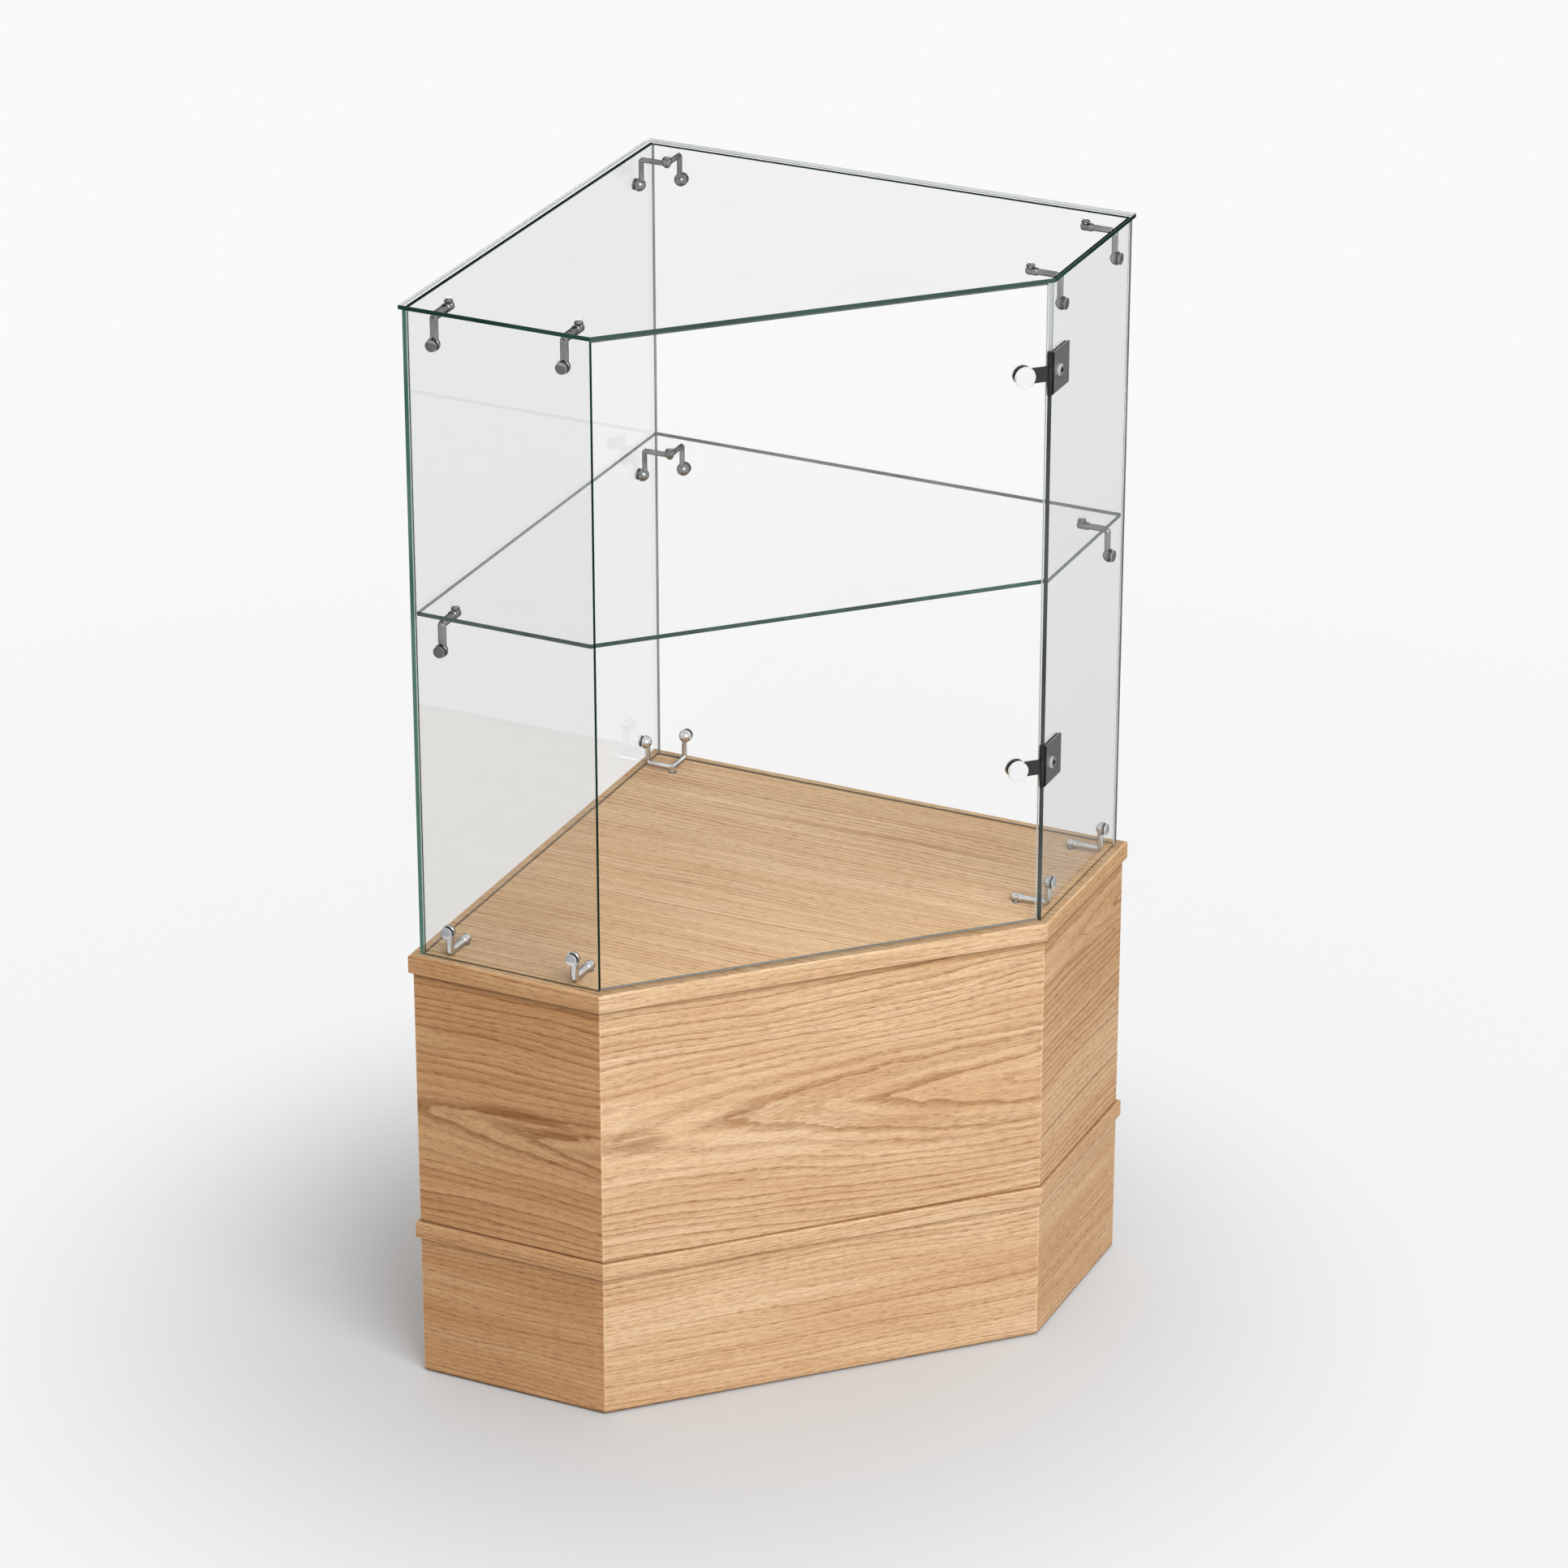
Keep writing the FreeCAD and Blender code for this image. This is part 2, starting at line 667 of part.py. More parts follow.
def hinge_arm(height):
    """Black strap from the middle knuckle along the face of the door, with a round end under the cap."""
    tall = arm_height - 2 * knuckle_gap
    low = height - tall / 2
    strap = door_prism(
        [(0, arm_face), (arm_reach, arm_face), (arm_reach, arm_outside), (0, arm_outside)], low, low + tall)
    tip = Part.makeCylinder(tall / 2, arm_thickness, at_hinge(arm_reach, arm_face, height), out_of_door)
    strap = strap.fuse(tip).removeSplitter()
    outside = [e for e in strap.Edges if all(
        abs((v.Point - hinge_axis).dot(out_of_door) - arm_outside) < 1e-6 for v in e.Vertexes)]
    strap = strap.makeFillet(arm_round, [e for e in outside if abs(along_of(e.CenterOfMass)) > 1e-3])
    knuckle = Part.makeCylinder(knuckle_radius, tall, hinge_axis + UP * low)
    bore = Part.makeCylinder(pin_radius + pin_clearance, tall, hinge_axis + UP * low)
    stud = Part.makeCylinder(
        stud_radius + stud_clearance, arm_thickness, at_hinge(arm_reach, arm_face, height), out_of_door)
    return strap.fuse(knuckle).cut([bore, stud]).removeSplitter()


def door_clamp(height):
    """Cap with its stud, the disc that it screws into inside the door, and the pads on the glass."""
    inside = door_face - glass_thickness
    disc_out = inside - door_pad_thickness
    disc_in = disc_out - inner_disc_thickness
    seat = at_hinge(arm_reach, arm_outside, height)
    cap = headed(cap_radius, cap_height, cap_round, stud_radius,
                 arm_outside - disc_in - screw_relief, seat, out_of_door * -1)
    hole = stud_radius + stud_clearance
    back = at_hinge(arm_reach, disc_out, height)
    inner = ring(inner_disc_radius, hole, inner_disc_thickness, back, out_of_door * -1)
    arm_pad = ring((arm_height - 2 * knuckle_gap) / 2, hole, door_pad_thickness,
                   at_hinge(arm_reach, door_face, height), out_of_door)
    disc_pad = ring(inner_disc_radius, hole, door_pad_thickness, back, out_of_door)
    return cap, inner, [arm_pad, disc_pad]


def build_door():
    """Glass door and the two hinges that carry it."""
    low = base_height + door_gap
    high = glass_top - door_gap
    inside = door_face - glass_thickness
    pane = arrised(door_prism([
        (door_start, inside), (door_end_inner, inside), (door_end_outer, door_face), (door_start, door_face),
    ], low, high))
    for name, height in hinge_heights.items():
        hole = at_hinge(arm_reach, door_face, height)
        pane = pane.cut(Part.makeCylinder(stud_hole_radius, glass_thickness, hole, out_of_door * -1))
        back, pads, bolt = clamp_pieces(height)
        cap, inner, door_pads = door_clamp(height)
        save("hinge_body_" + name, hinge_body(height))
        save("hinge_back_plate_" + name, back)
        save("hinge_pin_" + name, hinge_pin(height))
        save("hinge_arm_" + name, hinge_arm(height))
        save("hinge_cap_" + name, cap)
        save("hinge_inner_disc_" + name, inner)
        save("hinge_bolts", bolt)
        save("hinge_glass_pads", *pads)
        save("hinge_door_pads", *door_pads)
    save("door_glass", pane)


build_base()
build_glass()
build_clips()
build_door()

os.makedirs("parts", exist_ok=True)
for node, solids in nodes.items():
    for shape in solids:
        if not shape.isValid() or len(shape.Solids) != 1:
            raise ValueError(node + " is not one sound solid")
    Part.makeCompound([s for shape in solids for s in shape.Solids]).exportStep("parts/" + node + ".step")
print(len(nodes), "nodes,", sum(len(s) for s in nodes.values()), "solids")
print("hinge axis x, y:", round(hinge_axis.x, 3), round(hinge_axis.y, 3))
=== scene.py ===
# %% [markdown]
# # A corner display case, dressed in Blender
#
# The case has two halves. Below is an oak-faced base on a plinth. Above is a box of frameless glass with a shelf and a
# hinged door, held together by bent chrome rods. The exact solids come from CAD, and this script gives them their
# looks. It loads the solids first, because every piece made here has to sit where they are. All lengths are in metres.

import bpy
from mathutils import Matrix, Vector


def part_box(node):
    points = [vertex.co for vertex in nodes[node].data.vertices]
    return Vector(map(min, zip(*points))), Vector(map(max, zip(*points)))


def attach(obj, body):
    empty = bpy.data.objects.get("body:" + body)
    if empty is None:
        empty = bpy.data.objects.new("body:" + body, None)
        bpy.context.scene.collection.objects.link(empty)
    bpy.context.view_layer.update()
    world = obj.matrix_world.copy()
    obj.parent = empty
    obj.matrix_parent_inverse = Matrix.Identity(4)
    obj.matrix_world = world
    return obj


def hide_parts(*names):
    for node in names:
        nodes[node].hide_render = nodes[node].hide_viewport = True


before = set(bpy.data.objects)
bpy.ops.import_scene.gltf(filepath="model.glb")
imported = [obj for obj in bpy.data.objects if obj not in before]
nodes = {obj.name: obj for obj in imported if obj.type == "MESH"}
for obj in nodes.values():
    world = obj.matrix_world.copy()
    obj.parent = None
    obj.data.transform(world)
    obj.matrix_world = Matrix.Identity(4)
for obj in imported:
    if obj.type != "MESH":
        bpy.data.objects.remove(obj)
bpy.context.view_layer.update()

# %% Libraries
import math

import bmesh
import bpy
from mathutils import Quaternion, Vector

print("Blender", bpy.app.version_string)

# %% [markdown]
# ## Sizes that the pieces share
#
# The plan is a square with one corner cut off, so five corners describe it. Moving all five sides in or out by the same
# distance gives the outline of the slab, of the glass or of the shelf. One small function does that for every piece,
# which keeps them all in step.

# %% Plan of the case
SIDE = 0.600          # back walls of the base
SHORT = 0.230         # short sides of the base
ROOT2 = math.sqrt(2)
X_WAY, Y_WAY, UP = Vector((1, 0, 0)), Vector((0, 1, 0)), Vector((0, 0, 1))
ALONG_DOOR = Vector((-1, -1, 0)) / ROOT2
OUT_OF_DOOR = Vector((1, -1, 0)) / ROOT2


def outline(offset, front_offset=None):
    """Corners of the plan moved out by offset: back, right, right front, left front, left."""
    front = offset if front_offset is None else front_offset
    half = SIDE / 2 + offset
    reach = SHORT + front * ROOT2
    return [
        Vector((-half, half)),
        Vector((half, half)),
        Vector((half, half - reach)),
        Vector((reach - half, -half)),
        Vector((-half, -half)),
    ]


GLASS = 0.005         # thickness of the panes
GLASS_INSET = 0.006   # panes behind the faces of the base
GLASS_OUT = SIDE / 2 - GLASS_INSET
GLASS_IN = GLASS_OUT - GLASS
SLAB_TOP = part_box("base_slab")[1].z
WALL_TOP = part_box("glass_left")[1].z
SHELF_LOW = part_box("glass_shelf")[0].z
print("slab at", round(SLAB_TOP, 4), "walls up to", round(WALL_TOP, 4), "shelf at", round(SHELF_LOW, 4))

# %% [markdown]
# ## A small kit for shader nodes
#
# Every finish here is procedural: patterns worked out from the place on the piece, with no pictures. Node trees get
# long, so a little class adds a node and wires it in one call. Where a value is the same all over a piece, it goes
# straight onto the shader's socket.

# %% Node kit


class Nodes:
    """A node tree under construction. Each call but plug adds a node, and most return its output."""

    def __init__(self, tree):
        self.tree = tree
        tree.nodes.clear()

    def plug(self, value, socket):
        """Links a socket's value, or sets a plain one."""
        if isinstance(value, bpy.types.NodeSocket):
            self.tree.links.new(value, socket)
        else:
            socket.default_value = value

    def add(self, kind, *values, **settings):
        """Adds a node, sets it up and fills its first inputs."""
        node = self.tree.nodes.new("ShaderNode" + kind)
        for key, setting in settings.items():
            setattr(node, key, setting)
        for value, socket in zip(values, node.inputs):
            self.plug(value, socket)
        return node

    def math(self, operation, a, b=0.0, c=0.0):
        return self.add("Math", a, b, c, operation=operation).outputs[0]

    def dot(self, vector, direction):
        return self.add("VectorMath", vector, direction, operation="DOT_PRODUCT").outputs["Value"]

    def stretch(self, vector, scales, shift=(0, 0, 0)):
        return self.add("VectorMath", vector, scales, shift, operation="MULTIPLY_ADD").outputs["Vector"]

    def combine(self, x, y, z):
        return self.add("CombineXYZ", x, y, z).outputs[0]

    def noise(self, vector, scale=1.0, detail=2.0, rough=0.5):
        node = self.add("TexNoise", vector)
        for name, value in (("Scale", scale), ("Detail", detail), ("Roughness", rough)):
            node.inputs[name].default_value = value
        return node.outputs["Fac"]

    def chance(self, value):
        """A steady random number for each whole number."""
        node = self.add("TexWhiteNoise", noise_dimensions="1D")
        self.plug(value, node.inputs["W"])
        return node.outputs["Value"]

    def fit(self, value, low, high, to_low=0.0, to_high=1.0):
        """Maps low..high to to_low..to_high with soft ends."""
        return self.add("MapRange", value, low, high, to_low, to_high, interpolation_type="SMOOTHSTEP").outputs[0]

    def ramp(self, value, stops):
        """Grey ramp from (place, grey) stops."""
        node = self.add("ValToRGB", value)
        elements = node.color_ramp.elements
        while len(elements) < len(stops):
            elements.new(1.0)
        for element, (place, grey) in zip(elements, stops):
            element.position = place
            element.color = (grey, grey, grey, 1)
        return node.outputs["Color"]

    def mix(self, share, first, second, blend="MIX"):
        node = self.add("Mix", data_type="RGBA", blend_type=blend)
        self.plug(share, node.inputs["Factor"])
        for value, socket in zip((first, second), (node.inputs[6], node.inputs[7])):
            self.plug((*value, 1) if isinstance(value, tuple) else value, socket)
        return node.outputs[2]


class Finish(Nodes):
    """A material under construction, with its shader and the place on the piece."""

    def __init__(self, name):
        self.material = bpy.data.materials.new(name)
        self.material.use_nodes = True
        super().__init__(self.material.node_tree)
        self.shader = self.add("BsdfPrincipled")
        self.output = self.add("OutputMaterial", self.shader.outputs["BSDF"])
        self.place = self.add("TexCoord").outputs["Object"]

    def bump(self, height, strength, distance):
        node = self.add("Bump")
        node.inputs["Strength"].default_value = strength
        node.inputs["Distance"].default_value = distance
        self.plug(height, node.inputs["Height"])
        self.plug(node.outputs["Normal"], self.shader.inputs["Normal"])

    def set(self, **values):
        """Sets the shader's sockets, named with _ for a space."""
        for name, value in values.items():
            self.plug((*value, 1) if isinstance(value, tuple) else value, self.shader.inputs[name.replace("_", " ")])
        return self.material


# %% [markdown]
# ## Oak veneer
#
# The boards are faced with flat-sawn oak. A saw that runs along a trunk, but not quite parallel to it, cuts the growth
# rings at a slant, so in the middle of the board they come out as nested flames and towards its edges as long, nearly
# straight lines. A picture of wood would repeat and blur. Here the cut is worked out instead: each point of the board
# gets its distance from the trunk's heart, the distance is divided into rings, and noise bends them a little.

# %% Growth rings


def grain_bends(f, board, seed):
    """Shift of the grain across the board, by slow and quick bends and a ragged edge, and the quick bends alone."""
    slow = f.noise(f.stretch(board, (2.2, 7.0, 7.0), (seed, 1.7, 0)), detail=2.0)
    quick = f.noise(f.stretch(board, (11.0, 80.0, 80.0), (seed, 5.1, 0)), detail=3.0, rough=0.55)
    ragged = f.noise(f.stretch(board, (75.0, 620.0, 620.0), (seed, 8.8, 0)), detail=2.0, rough=0.6)
    wander = 0.0
    for bend, reach in ((ragged, 0.0022), (quick, 0.0060), (slow, 0.05)):
        wander = f.math("MULTIPLY_ADD", f.math("SUBTRACT", bend, 0.5), reach, wander)
    return wander, quick


def ring_radius(f, board, u, dv, heart, taper, seed):
    """Distance of a point from the trunk's heart, whose tip is blunt and toothed, and from the heart's own line."""
    lean = f.noise(f.stretch(board, (7.0, 3.0, 3.0), (seed, 9.3, 0)), detail=2.0)
    teeth = f.noise(f.stretch(board, (26.0, 110.0, 110.0), (seed, 6.1, 0)), detail=2.0)
    lag = f.math("MULTIPLY_ADD", lean, 0.10, f.math("MULTIPLY", teeth, 0.07))
    aside = f.math("ABSOLUTE", dv)
    tip = f.math("MAXIMUM", f.math("MULTIPLY_ADD", aside, -1 / 0.014, 1.0), 0.0)
    run = f.math("ADD", lag, f.math("SUBTRACT", heart[0] - 0.085, u))
    run = f.math("MAXIMUM", f.math("MULTIPLY_ADD", tip, -0.03, run), 0.0)
    radius = f.math("SQRT", f.math("MULTIPLY_ADD", dv, dv, f.math("MULTIPLY", run, taper)))
    return radius, aside


def ring_lines(f, board, radius, aside, quick, heart, taper, spacing, seed, flames):
    """Dark start of each ring, and the fine lines between."""
    uneven = f.noise(f.combine(f.math("MULTIPLY", radius, 42.0), seed, 0.0), detail=1.0)
    rings = f.math("MULTIPLY_ADD", radius, 1 / spacing, f.math("MULTIPLY", f.math("SUBTRACT", uneven, 0.5), 1.6))
    inner = f.fit(aside, 0.030, 0.080, 1.0, 0.0) if flames else 0.0
    faint = f.math("MULTIPLY_ADD", inner, -0.55, 1.0)
    strength = f.math("MULTIPLY", f.fit(f.chance(f.math("FLOOR", rings)), 0.0, 1.0, 0.25, 0.95), faint)
    early = f.math("MULTIPLY", f.ramp(f.math("FRACT", rings), [
        (0.0, 1.0), (0.08, 0.9), (0.18, 0.45), (0.36, 0.16), (0.6, 0.04), (0.93, 0.0), (0.985, 0.9)]), strength)
    for place, depth in flames:
        past = f.math("SUBTRACT", radius, math.sqrt(taper * (heart[0] - place)))
        bold = f.math("MULTIPLY", f.fit(past, -0.0006, 0.0002), f.fit(past, 0.0002, 0.0060, depth, 0.0))
        early = f.math("MAXIMUM", early, bold)
    thin = f.math("FRACT", f.math("MULTIPLY_ADD", rings, 3.0, f.math("MULTIPLY", quick, 0.8)))
    here = f.fit(f.noise(f.stretch(board, (9.0, 190.0, 190.0), (seed, 4.0, 0)), detail=2.0), 0.38, 0.60)
    lines = f.math("MULTIPLY", f.ramp(thin, [(0.0, 1.0), (0.12, 0.6), (0.4, 0.1), (0.85, 0.0), (0.97, 0.8)]),
                   f.math("MULTIPLY", faint, here))
    return early, lines


# %% [markdown]
# Oak is ring-porous: each ring starts with a dark band of open pores and fades to dense pale wood. The pores themselves
# are short dark dashes along the grain, and they are also what the fingertips feel, so they drive the bump. Where two
# boards meet, the joint is dark. There, under the boards that stand out and along the floor, the wood is darker
# still, as painted shade. Outer edges and corners are painted paler, as highlights. That shade takes more of the blue
# than of the red, as it does on real wood.

# %% Pores and shade
# The ends of a board are painted paler, as a highlight on its corners
PAINTED_CORNER_HIGHLIGHT = (0.0022, 1.22)     # reach and strength of the pale ends of a board


def oak_pores(f, board, early, seed):
    """Pores, close together where a ring starts, and the finer fibre."""
    dash = f.noise(f.stretch(board, (70.0, 800.0, 800.0), (seed, 0, 0)), detail=2.0, rough=0.6)
    fine = f.noise(f.stretch(board, (110.0, 1500.0, 1500.0), (seed, 3.0, 0)), detail=1.0)
    pores = f.math("MULTIPLY", f.fit(dash, 0.50, 0.62), f.math("MULTIPLY_ADD", early, 0.6, 0.40))
    return pores, f.fit(fine, 0.35, 0.75)


def oak_shade(f, fibre, u, v, shade_and_highlight_lines, corners):
    """Fibre, dark joints with painted shade, and painted highlights on edges and ends, as a colour."""
    shade = f.fit(fibre, 0.0, 1.0, 1.08, 0.92)
    marks = [(v, *painted_line) for painted_line in shade_and_highlight_lines] + [(u, place, *PAINTED_CORNER_HIGHLIGHT) for place in corners]
    for value, place, reach, depth in marks:
        away = f.math("ABSOLUTE", f.math("SUBTRACT", value, place))
        shade = f.math("MULTIPLY", shade, f.fit(away, 0.0, reach, depth, 1.0))
    return f.combine(f.math("POWER", shade, 0.85), shade, f.math("POWER", shade, 1.25))


# %% Oak
OAK_PALE = (0.89, 0.63, 0.385)
OAK_BODY = (0.72, 0.435, 0.225)
OAK_DARK = (0.29, 0.105, 0.022)


def oak(name, along, across, heart, taper, spacing, seed, tone_and_shade=(1, 1, 1), figure=1.0, shade_and_highlight_lines=(), smudges=(),
        flames=(), corners=()):
    """Oak veneer. along and across are the directions of the face. heart is where the trunk's middle comes to the
    surface, in metres along and across. taper is how blunt the flames are, spacing is the width of a ring and figure
    is the strength of its lines. Shade and highlight lines are (height, reach, shade): dark joints with painted shade
    beside them, and painted highlights on edges. smudges are (along, across, half length, half height, strength) of
    dark heartwood, flames are (along, strength) of the tips of the boldest rings, and corners are the places along the
    board of its ends, which are painted paler as highlights."""
    f = Finish(name)
    u, v, w = [f.dot(f.place, way) for way in (along, across, along.cross(across))]
    board = f.combine(u, v, w)
    wander, quick = grain_bends(f, board, seed)
    dv = f.math("ADD", f.math("SUBTRACT", v, heart[1]), wander)
    radius, aside = ring_radius(f, board, u, dv, heart, taper, seed)
    early, lines = ring_lines(f, board, radius, aside, quick, heart, taper, spacing, seed, flames)
    pores, fibre = oak_pores(f, board, early, seed)

    # Colour: pale to body tone by slow patches, then the dark bands, the fine lines, the heartwood and the pores
    patch = f.noise(f.stretch(board, (2.5, 13.0, 13.0), (seed, 2.2, 0)), detail=3.0)
    streak = f.noise(f.stretch(board, (3.5, 105.0, 105.0), (seed, 7.7, 0)), detail=3.0)
    ground = f.mix(f.fit(f.math("MULTIPLY_ADD", streak, 0.5, f.math("MULTIPLY", patch, 0.5)), 0.30, 0.70),
                   OAK_PALE, OAK_BODY)
    lined = f.mix(f.math("MULTIPLY", early, 0.70 * figure), ground, OAK_DARK)
    lined = f.mix(f.math("MULTIPLY", lines, 0.34), lined, OAK_DARK)
    for smudge_u, smudge_v, half_u, half_v, depth in smudges:
        away_u = f.math("MULTIPLY", f.math("SUBTRACT", u, smudge_u), 1 / half_u)
        away_v = f.math("MULTIPLY", f.math("SUBTRACT", dv, smudge_v - heart[1]), 1 / half_v)
        away = f.math("MULTIPLY_ADD", away_u, away_u, f.math("MULTIPLY", away_v, away_v))
        patchy = f.math("MULTIPLY", f.fit(away, 0.0, 1.3, depth, 0.0), f.fit(streak, 0.25, 0.65))
        lined = f.mix(patchy, lined, OAK_DARK)
    pored = f.mix(f.math("MULTIPLY", pores, 0.72), lined, OAK_DARK)
    # Painted shade at joints, under overhangs and along the floor, and painted highlights on edges and ends
    shade = oak_shade(f, fibre, u, v, shade_and_highlight_lines, corners)
    colour = f.mix(1.0, pored, f.stretch(shade, tone_and_shade), "MULTIPLY")

    felt = f.math("MULTIPLY_ADD", early, -0.35, f.math("MULTIPLY", fibre, 0.12))
    f.bump(f.math("MULTIPLY_ADD", pores, -1.0, felt), 0.3, 0.0003)
    rough = f.math("MULTIPLY_ADD", pores, 0.22, f.math("MULTIPLY_ADD", patch, 0.14, 0.40))
    return f.set(Base_Color=colour, Roughness=rough, Specular_IOR_Level=0.3)


# %% [markdown]
# Each board is faced with its own leaf of veneer. For the panels, the figure is described by where the heart comes to
# the surface, which rings are bold and where dark heartwood shows, in metres along the panel and up from the floor. The
# plinth and the edge bands are cut farther from the heart, so their lines are nearly straight.

# %% Figure of each side
# Way along each side, tone of its oak with painted shade in it, most on the left, heart of its panel's figure along
# and up, and the cut's slant
SIDES = {
    "back_right": (-X_WAY, (0.97, 0.96, 0.95), (0.45, 0.36), 0.0120),
    "right": (Y_WAY, (0.93, 0.87, 0.78), (0.46, 0.47), 0.0040),
    "front": (-ALONG_DOOR, (1.0, 1.0, 1.0), (0.31, 0.346), 0.0085),
    "left": (X_WAY, (0.77, 0.645, 0.51), (0.06, 0.340), 0.0060),
    "back_left": (-Y_WAY, (0.93, 0.90, 0.86), (0.42, 0.35), 0.0120),
}
SMUDGES = {
    "front": [(-0.225, 0.342, 0.045, 0.016, 0.6), (-0.100, 0.350, 0.022, 0.010, 0.5)],
    "left": [(-0.165, 0.356, 0.075, 0.018, 0.9), (-0.092, 0.334, 0.035, 0.012, 0.8)],
}
FLAMES = {
    "front": ((-0.225, 0.40), (-0.085, 0.75), (-0.01, 0.35), (0.115, 0.80)),
    "left": ((-0.255, 0.80), (-0.135, 0.85)),
    "back_right": ((-0.18, 0.70), (0.05, 0.60), (0.22, 0.80)),
    "back_left": ((-0.20, 0.60), (0.02, 0.80), (0.21, 0.70)),
}
# The slab is toned darker, as painted shade for the light that the glass over it takes away
SLAB_TONE_AND_PAINTED_SHADE = (0.850, 0.870, 0.860)
SLAB_SMUDGES = [
    (0.000, 0.193, 0.100, 0.0055, 0.34),
    (0.130, 0.200, 0.130, 0.0065, 0.40),
    (0.225, 0.191, 0.060, 0.0050, 0.34),
    (0.060, 0.178, 0.120, 0.0040, 0.26),
]
print("figured panels:", ", ".join(FLAMES))

# %% Oak of each board
SLAB_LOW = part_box("base_slab")[0].z
BAND_LOW, BAND_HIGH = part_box("base_board")[0].z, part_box("base_board")[1].z
# Painted shade on the panels under the slab and above the bottom board, whose joint is also dark, and on the plinth
# under the bottom board, at its joint, and along the floor
PANEL_JOINTS_AND_PAINTED_SHADE = [(SLAB_LOW, 0.012, 0.50), (BAND_HIGH, 0.0032, 0.26)]
PLINTH_JOINTS_AND_PAINTED_SHADE = [(BAND_LOW, 0.008, 0.60), (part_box("plinth_panel_front")[0].z, 0.0028, 0.35)]
# Painted highlights on the rounded top edges of the slab and of the bottom board
PAINTED_EDGE_HIGHLIGHTS = [(SLAB_TOP, 0.0026, 1.20), (BAND_HIGH, 0.0020, 1.30)]
panel_oak = {}
plinth_oak = {}
edge_oak = {}
# A side's panel, plinth board and edge band share its tone, and so its painted shade
for place, (side, (way, tone_and_shade, heart, slant)) in enumerate(SIDES.items()):
    reach = [v.co.dot(way) for v in nodes["base_panel_" + side].data.vertices]
    corners = (min(reach), max(reach))
    panel_oak[side] = oak("oak_panel_" + side, way, UP, heart, taper=slant, spacing=0.0085, seed=3.7 + place * 5.3,
                          tone_and_shade=tone_and_shade, shade_and_highlight_lines=PANEL_JOINTS_AND_PAINTED_SHADE, smudges=SMUDGES.get(side, ()), flames=FLAMES.get(side, ()),
                          corners=corners)
    plinth_oak[side] = oak("oak_plinth_" + side, way, UP, (1.2, -0.30), taper=0.002, spacing=0.0062,
                           seed=41.3 + place * 4.1, tone_and_shade=tone_and_shade, figure=0.7, shade_and_highlight_lines=PLINTH_JOINTS_AND_PAINTED_SHADE, corners=corners)
    edge_oak[side] = oak("oak_edge_" + side, way, UP, (1.6, 0.42), taper=0.002, spacing=0.0050,
                         seed=71.9 + place * 3.3, tone_and_shade=tone_and_shade, figure=0.8, shade_and_highlight_lines=PAINTED_EDGE_HIGHLIGHTS)
slab_oak = oak("oak_slab", X_WAY, Y_WAY, (1.4, 0.75), taper=0.004, spacing=0.0070, seed=97.0,
               tone_and_shade=SLAB_TONE_AND_PAINTED_SHADE, figure=0.9, smudges=SLAB_SMUDGES)
print(len(bpy.data.materials), "finishes so far")

# %% Oak on the flat panels


def dress(node, finish):
    """Gives a solid its finish, on the object's own material slots."""
    for slot in node.material_slots:
        slot.link = "OBJECT"
        slot.material = finish


for side in SIDES:
    dress(nodes["base_panel_" + side], panel_oak[side])
    dress(nodes["plinth_panel_" + side], plinth_oak[side])
print("panels dressed on", len(SIDES), "sides")

# %% [markdown]
# ## Slab and bottom board
#
# Both boards lie flat and stand out past the panels, with an edge band glued along each side. The grain of a band runs
# along its own side, and the grain of the top veneer runs one way over the whole slab, so one board needs six
# finishes. The CAD solid has a single one, so these two boards are built again here, as a stack of outlines that follow
# the rounded edge, with a finish for each side.

# %% Mesh kit


def hoop(bm, lower, upper):
    """Faces between two loops of points, one for each side."""
    return [bm.faces.new(ends) for ends in zip(lower, lower[1:] + lower[:1], upper[1:] + upper[:1], upper)]


def as_mesh(name, bm):
    mesh = bpy.data.meshes.new(name)
    bm.to_mesh(mesh)
    bm.free()
    return mesh


def shown_mesh(name, bm, finishes):
    """Object in the scene, with its finishes."""
    mesh = as_mesh(name, bm)
    for finish in finishes:
        mesh.materials.append(finish)
    shown = bpy.data.objects.new(name, mesh)
    bpy.context.scene.collection.objects.link(shown)
    return shown


def piece(name, build, finishes, body, node):
    """New piece of the case: build fills a bmesh, and the piece gets its finishes, body and replaced node."""
    bm = bmesh.new()
    build(bm)
    bmesh.ops.remove_doubles(bm, verts=bm.verts, dist=1e-6)
    bmesh.ops.recalc_face_normals(bm, faces=bm.faces)
    shown = shown_mesh(name, bm, finishes)
    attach(shown, body)
    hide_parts(node)
    return shown


def soften(shown, angle=32):
    """Smooth shading, with edges sharper than an angle kept."""
    shown.data.shade_smooth()
    shown.data.set_sharp_from_angle(angle=math.radians(angle))
    return shown


def eased_steps(low, high, rounding, steps=5):
    """(inset, height) pairs up the side of a board with rounded edges."""
    rise = [math.radians(90 * k / steps) for k in range(steps + 1)]
    foot = [(rounding * (1 - math.sin(a)), low + rounding * (1 - math.cos(a))) for a in rise]
    head = [(rounding * (1 - math.cos(a)), high - rounding * (1 - math.sin(a))) for a in rise]
    return foot + head


# %% Boards
OVERHANG = 0.004


def flat_board(name, node, rounding):
    """Board over the whole plan, with an edge band on each side."""
    low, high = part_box(node)[0].z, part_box(node)[1].z

    def build(bm):
        loops = []
        for inset, z in eased_steps(low, high, rounding):
            loops.append([bm.verts.new((*p, z)) for p in outline(OVERHANG - inset)])
        for lower, upper in zip(loops, loops[1:]):
            for k, face in enumerate(hoop(bm, lower, upper)):
                face.material_index = k + 1
        bm.faces.new(loops[-1])
        bm.faces.new(reversed(loops[0]))

    finishes = [slab_oak] + [edge_oak[side] for side in SIDES]
    return soften(piece(name, build, finishes, "case", node))


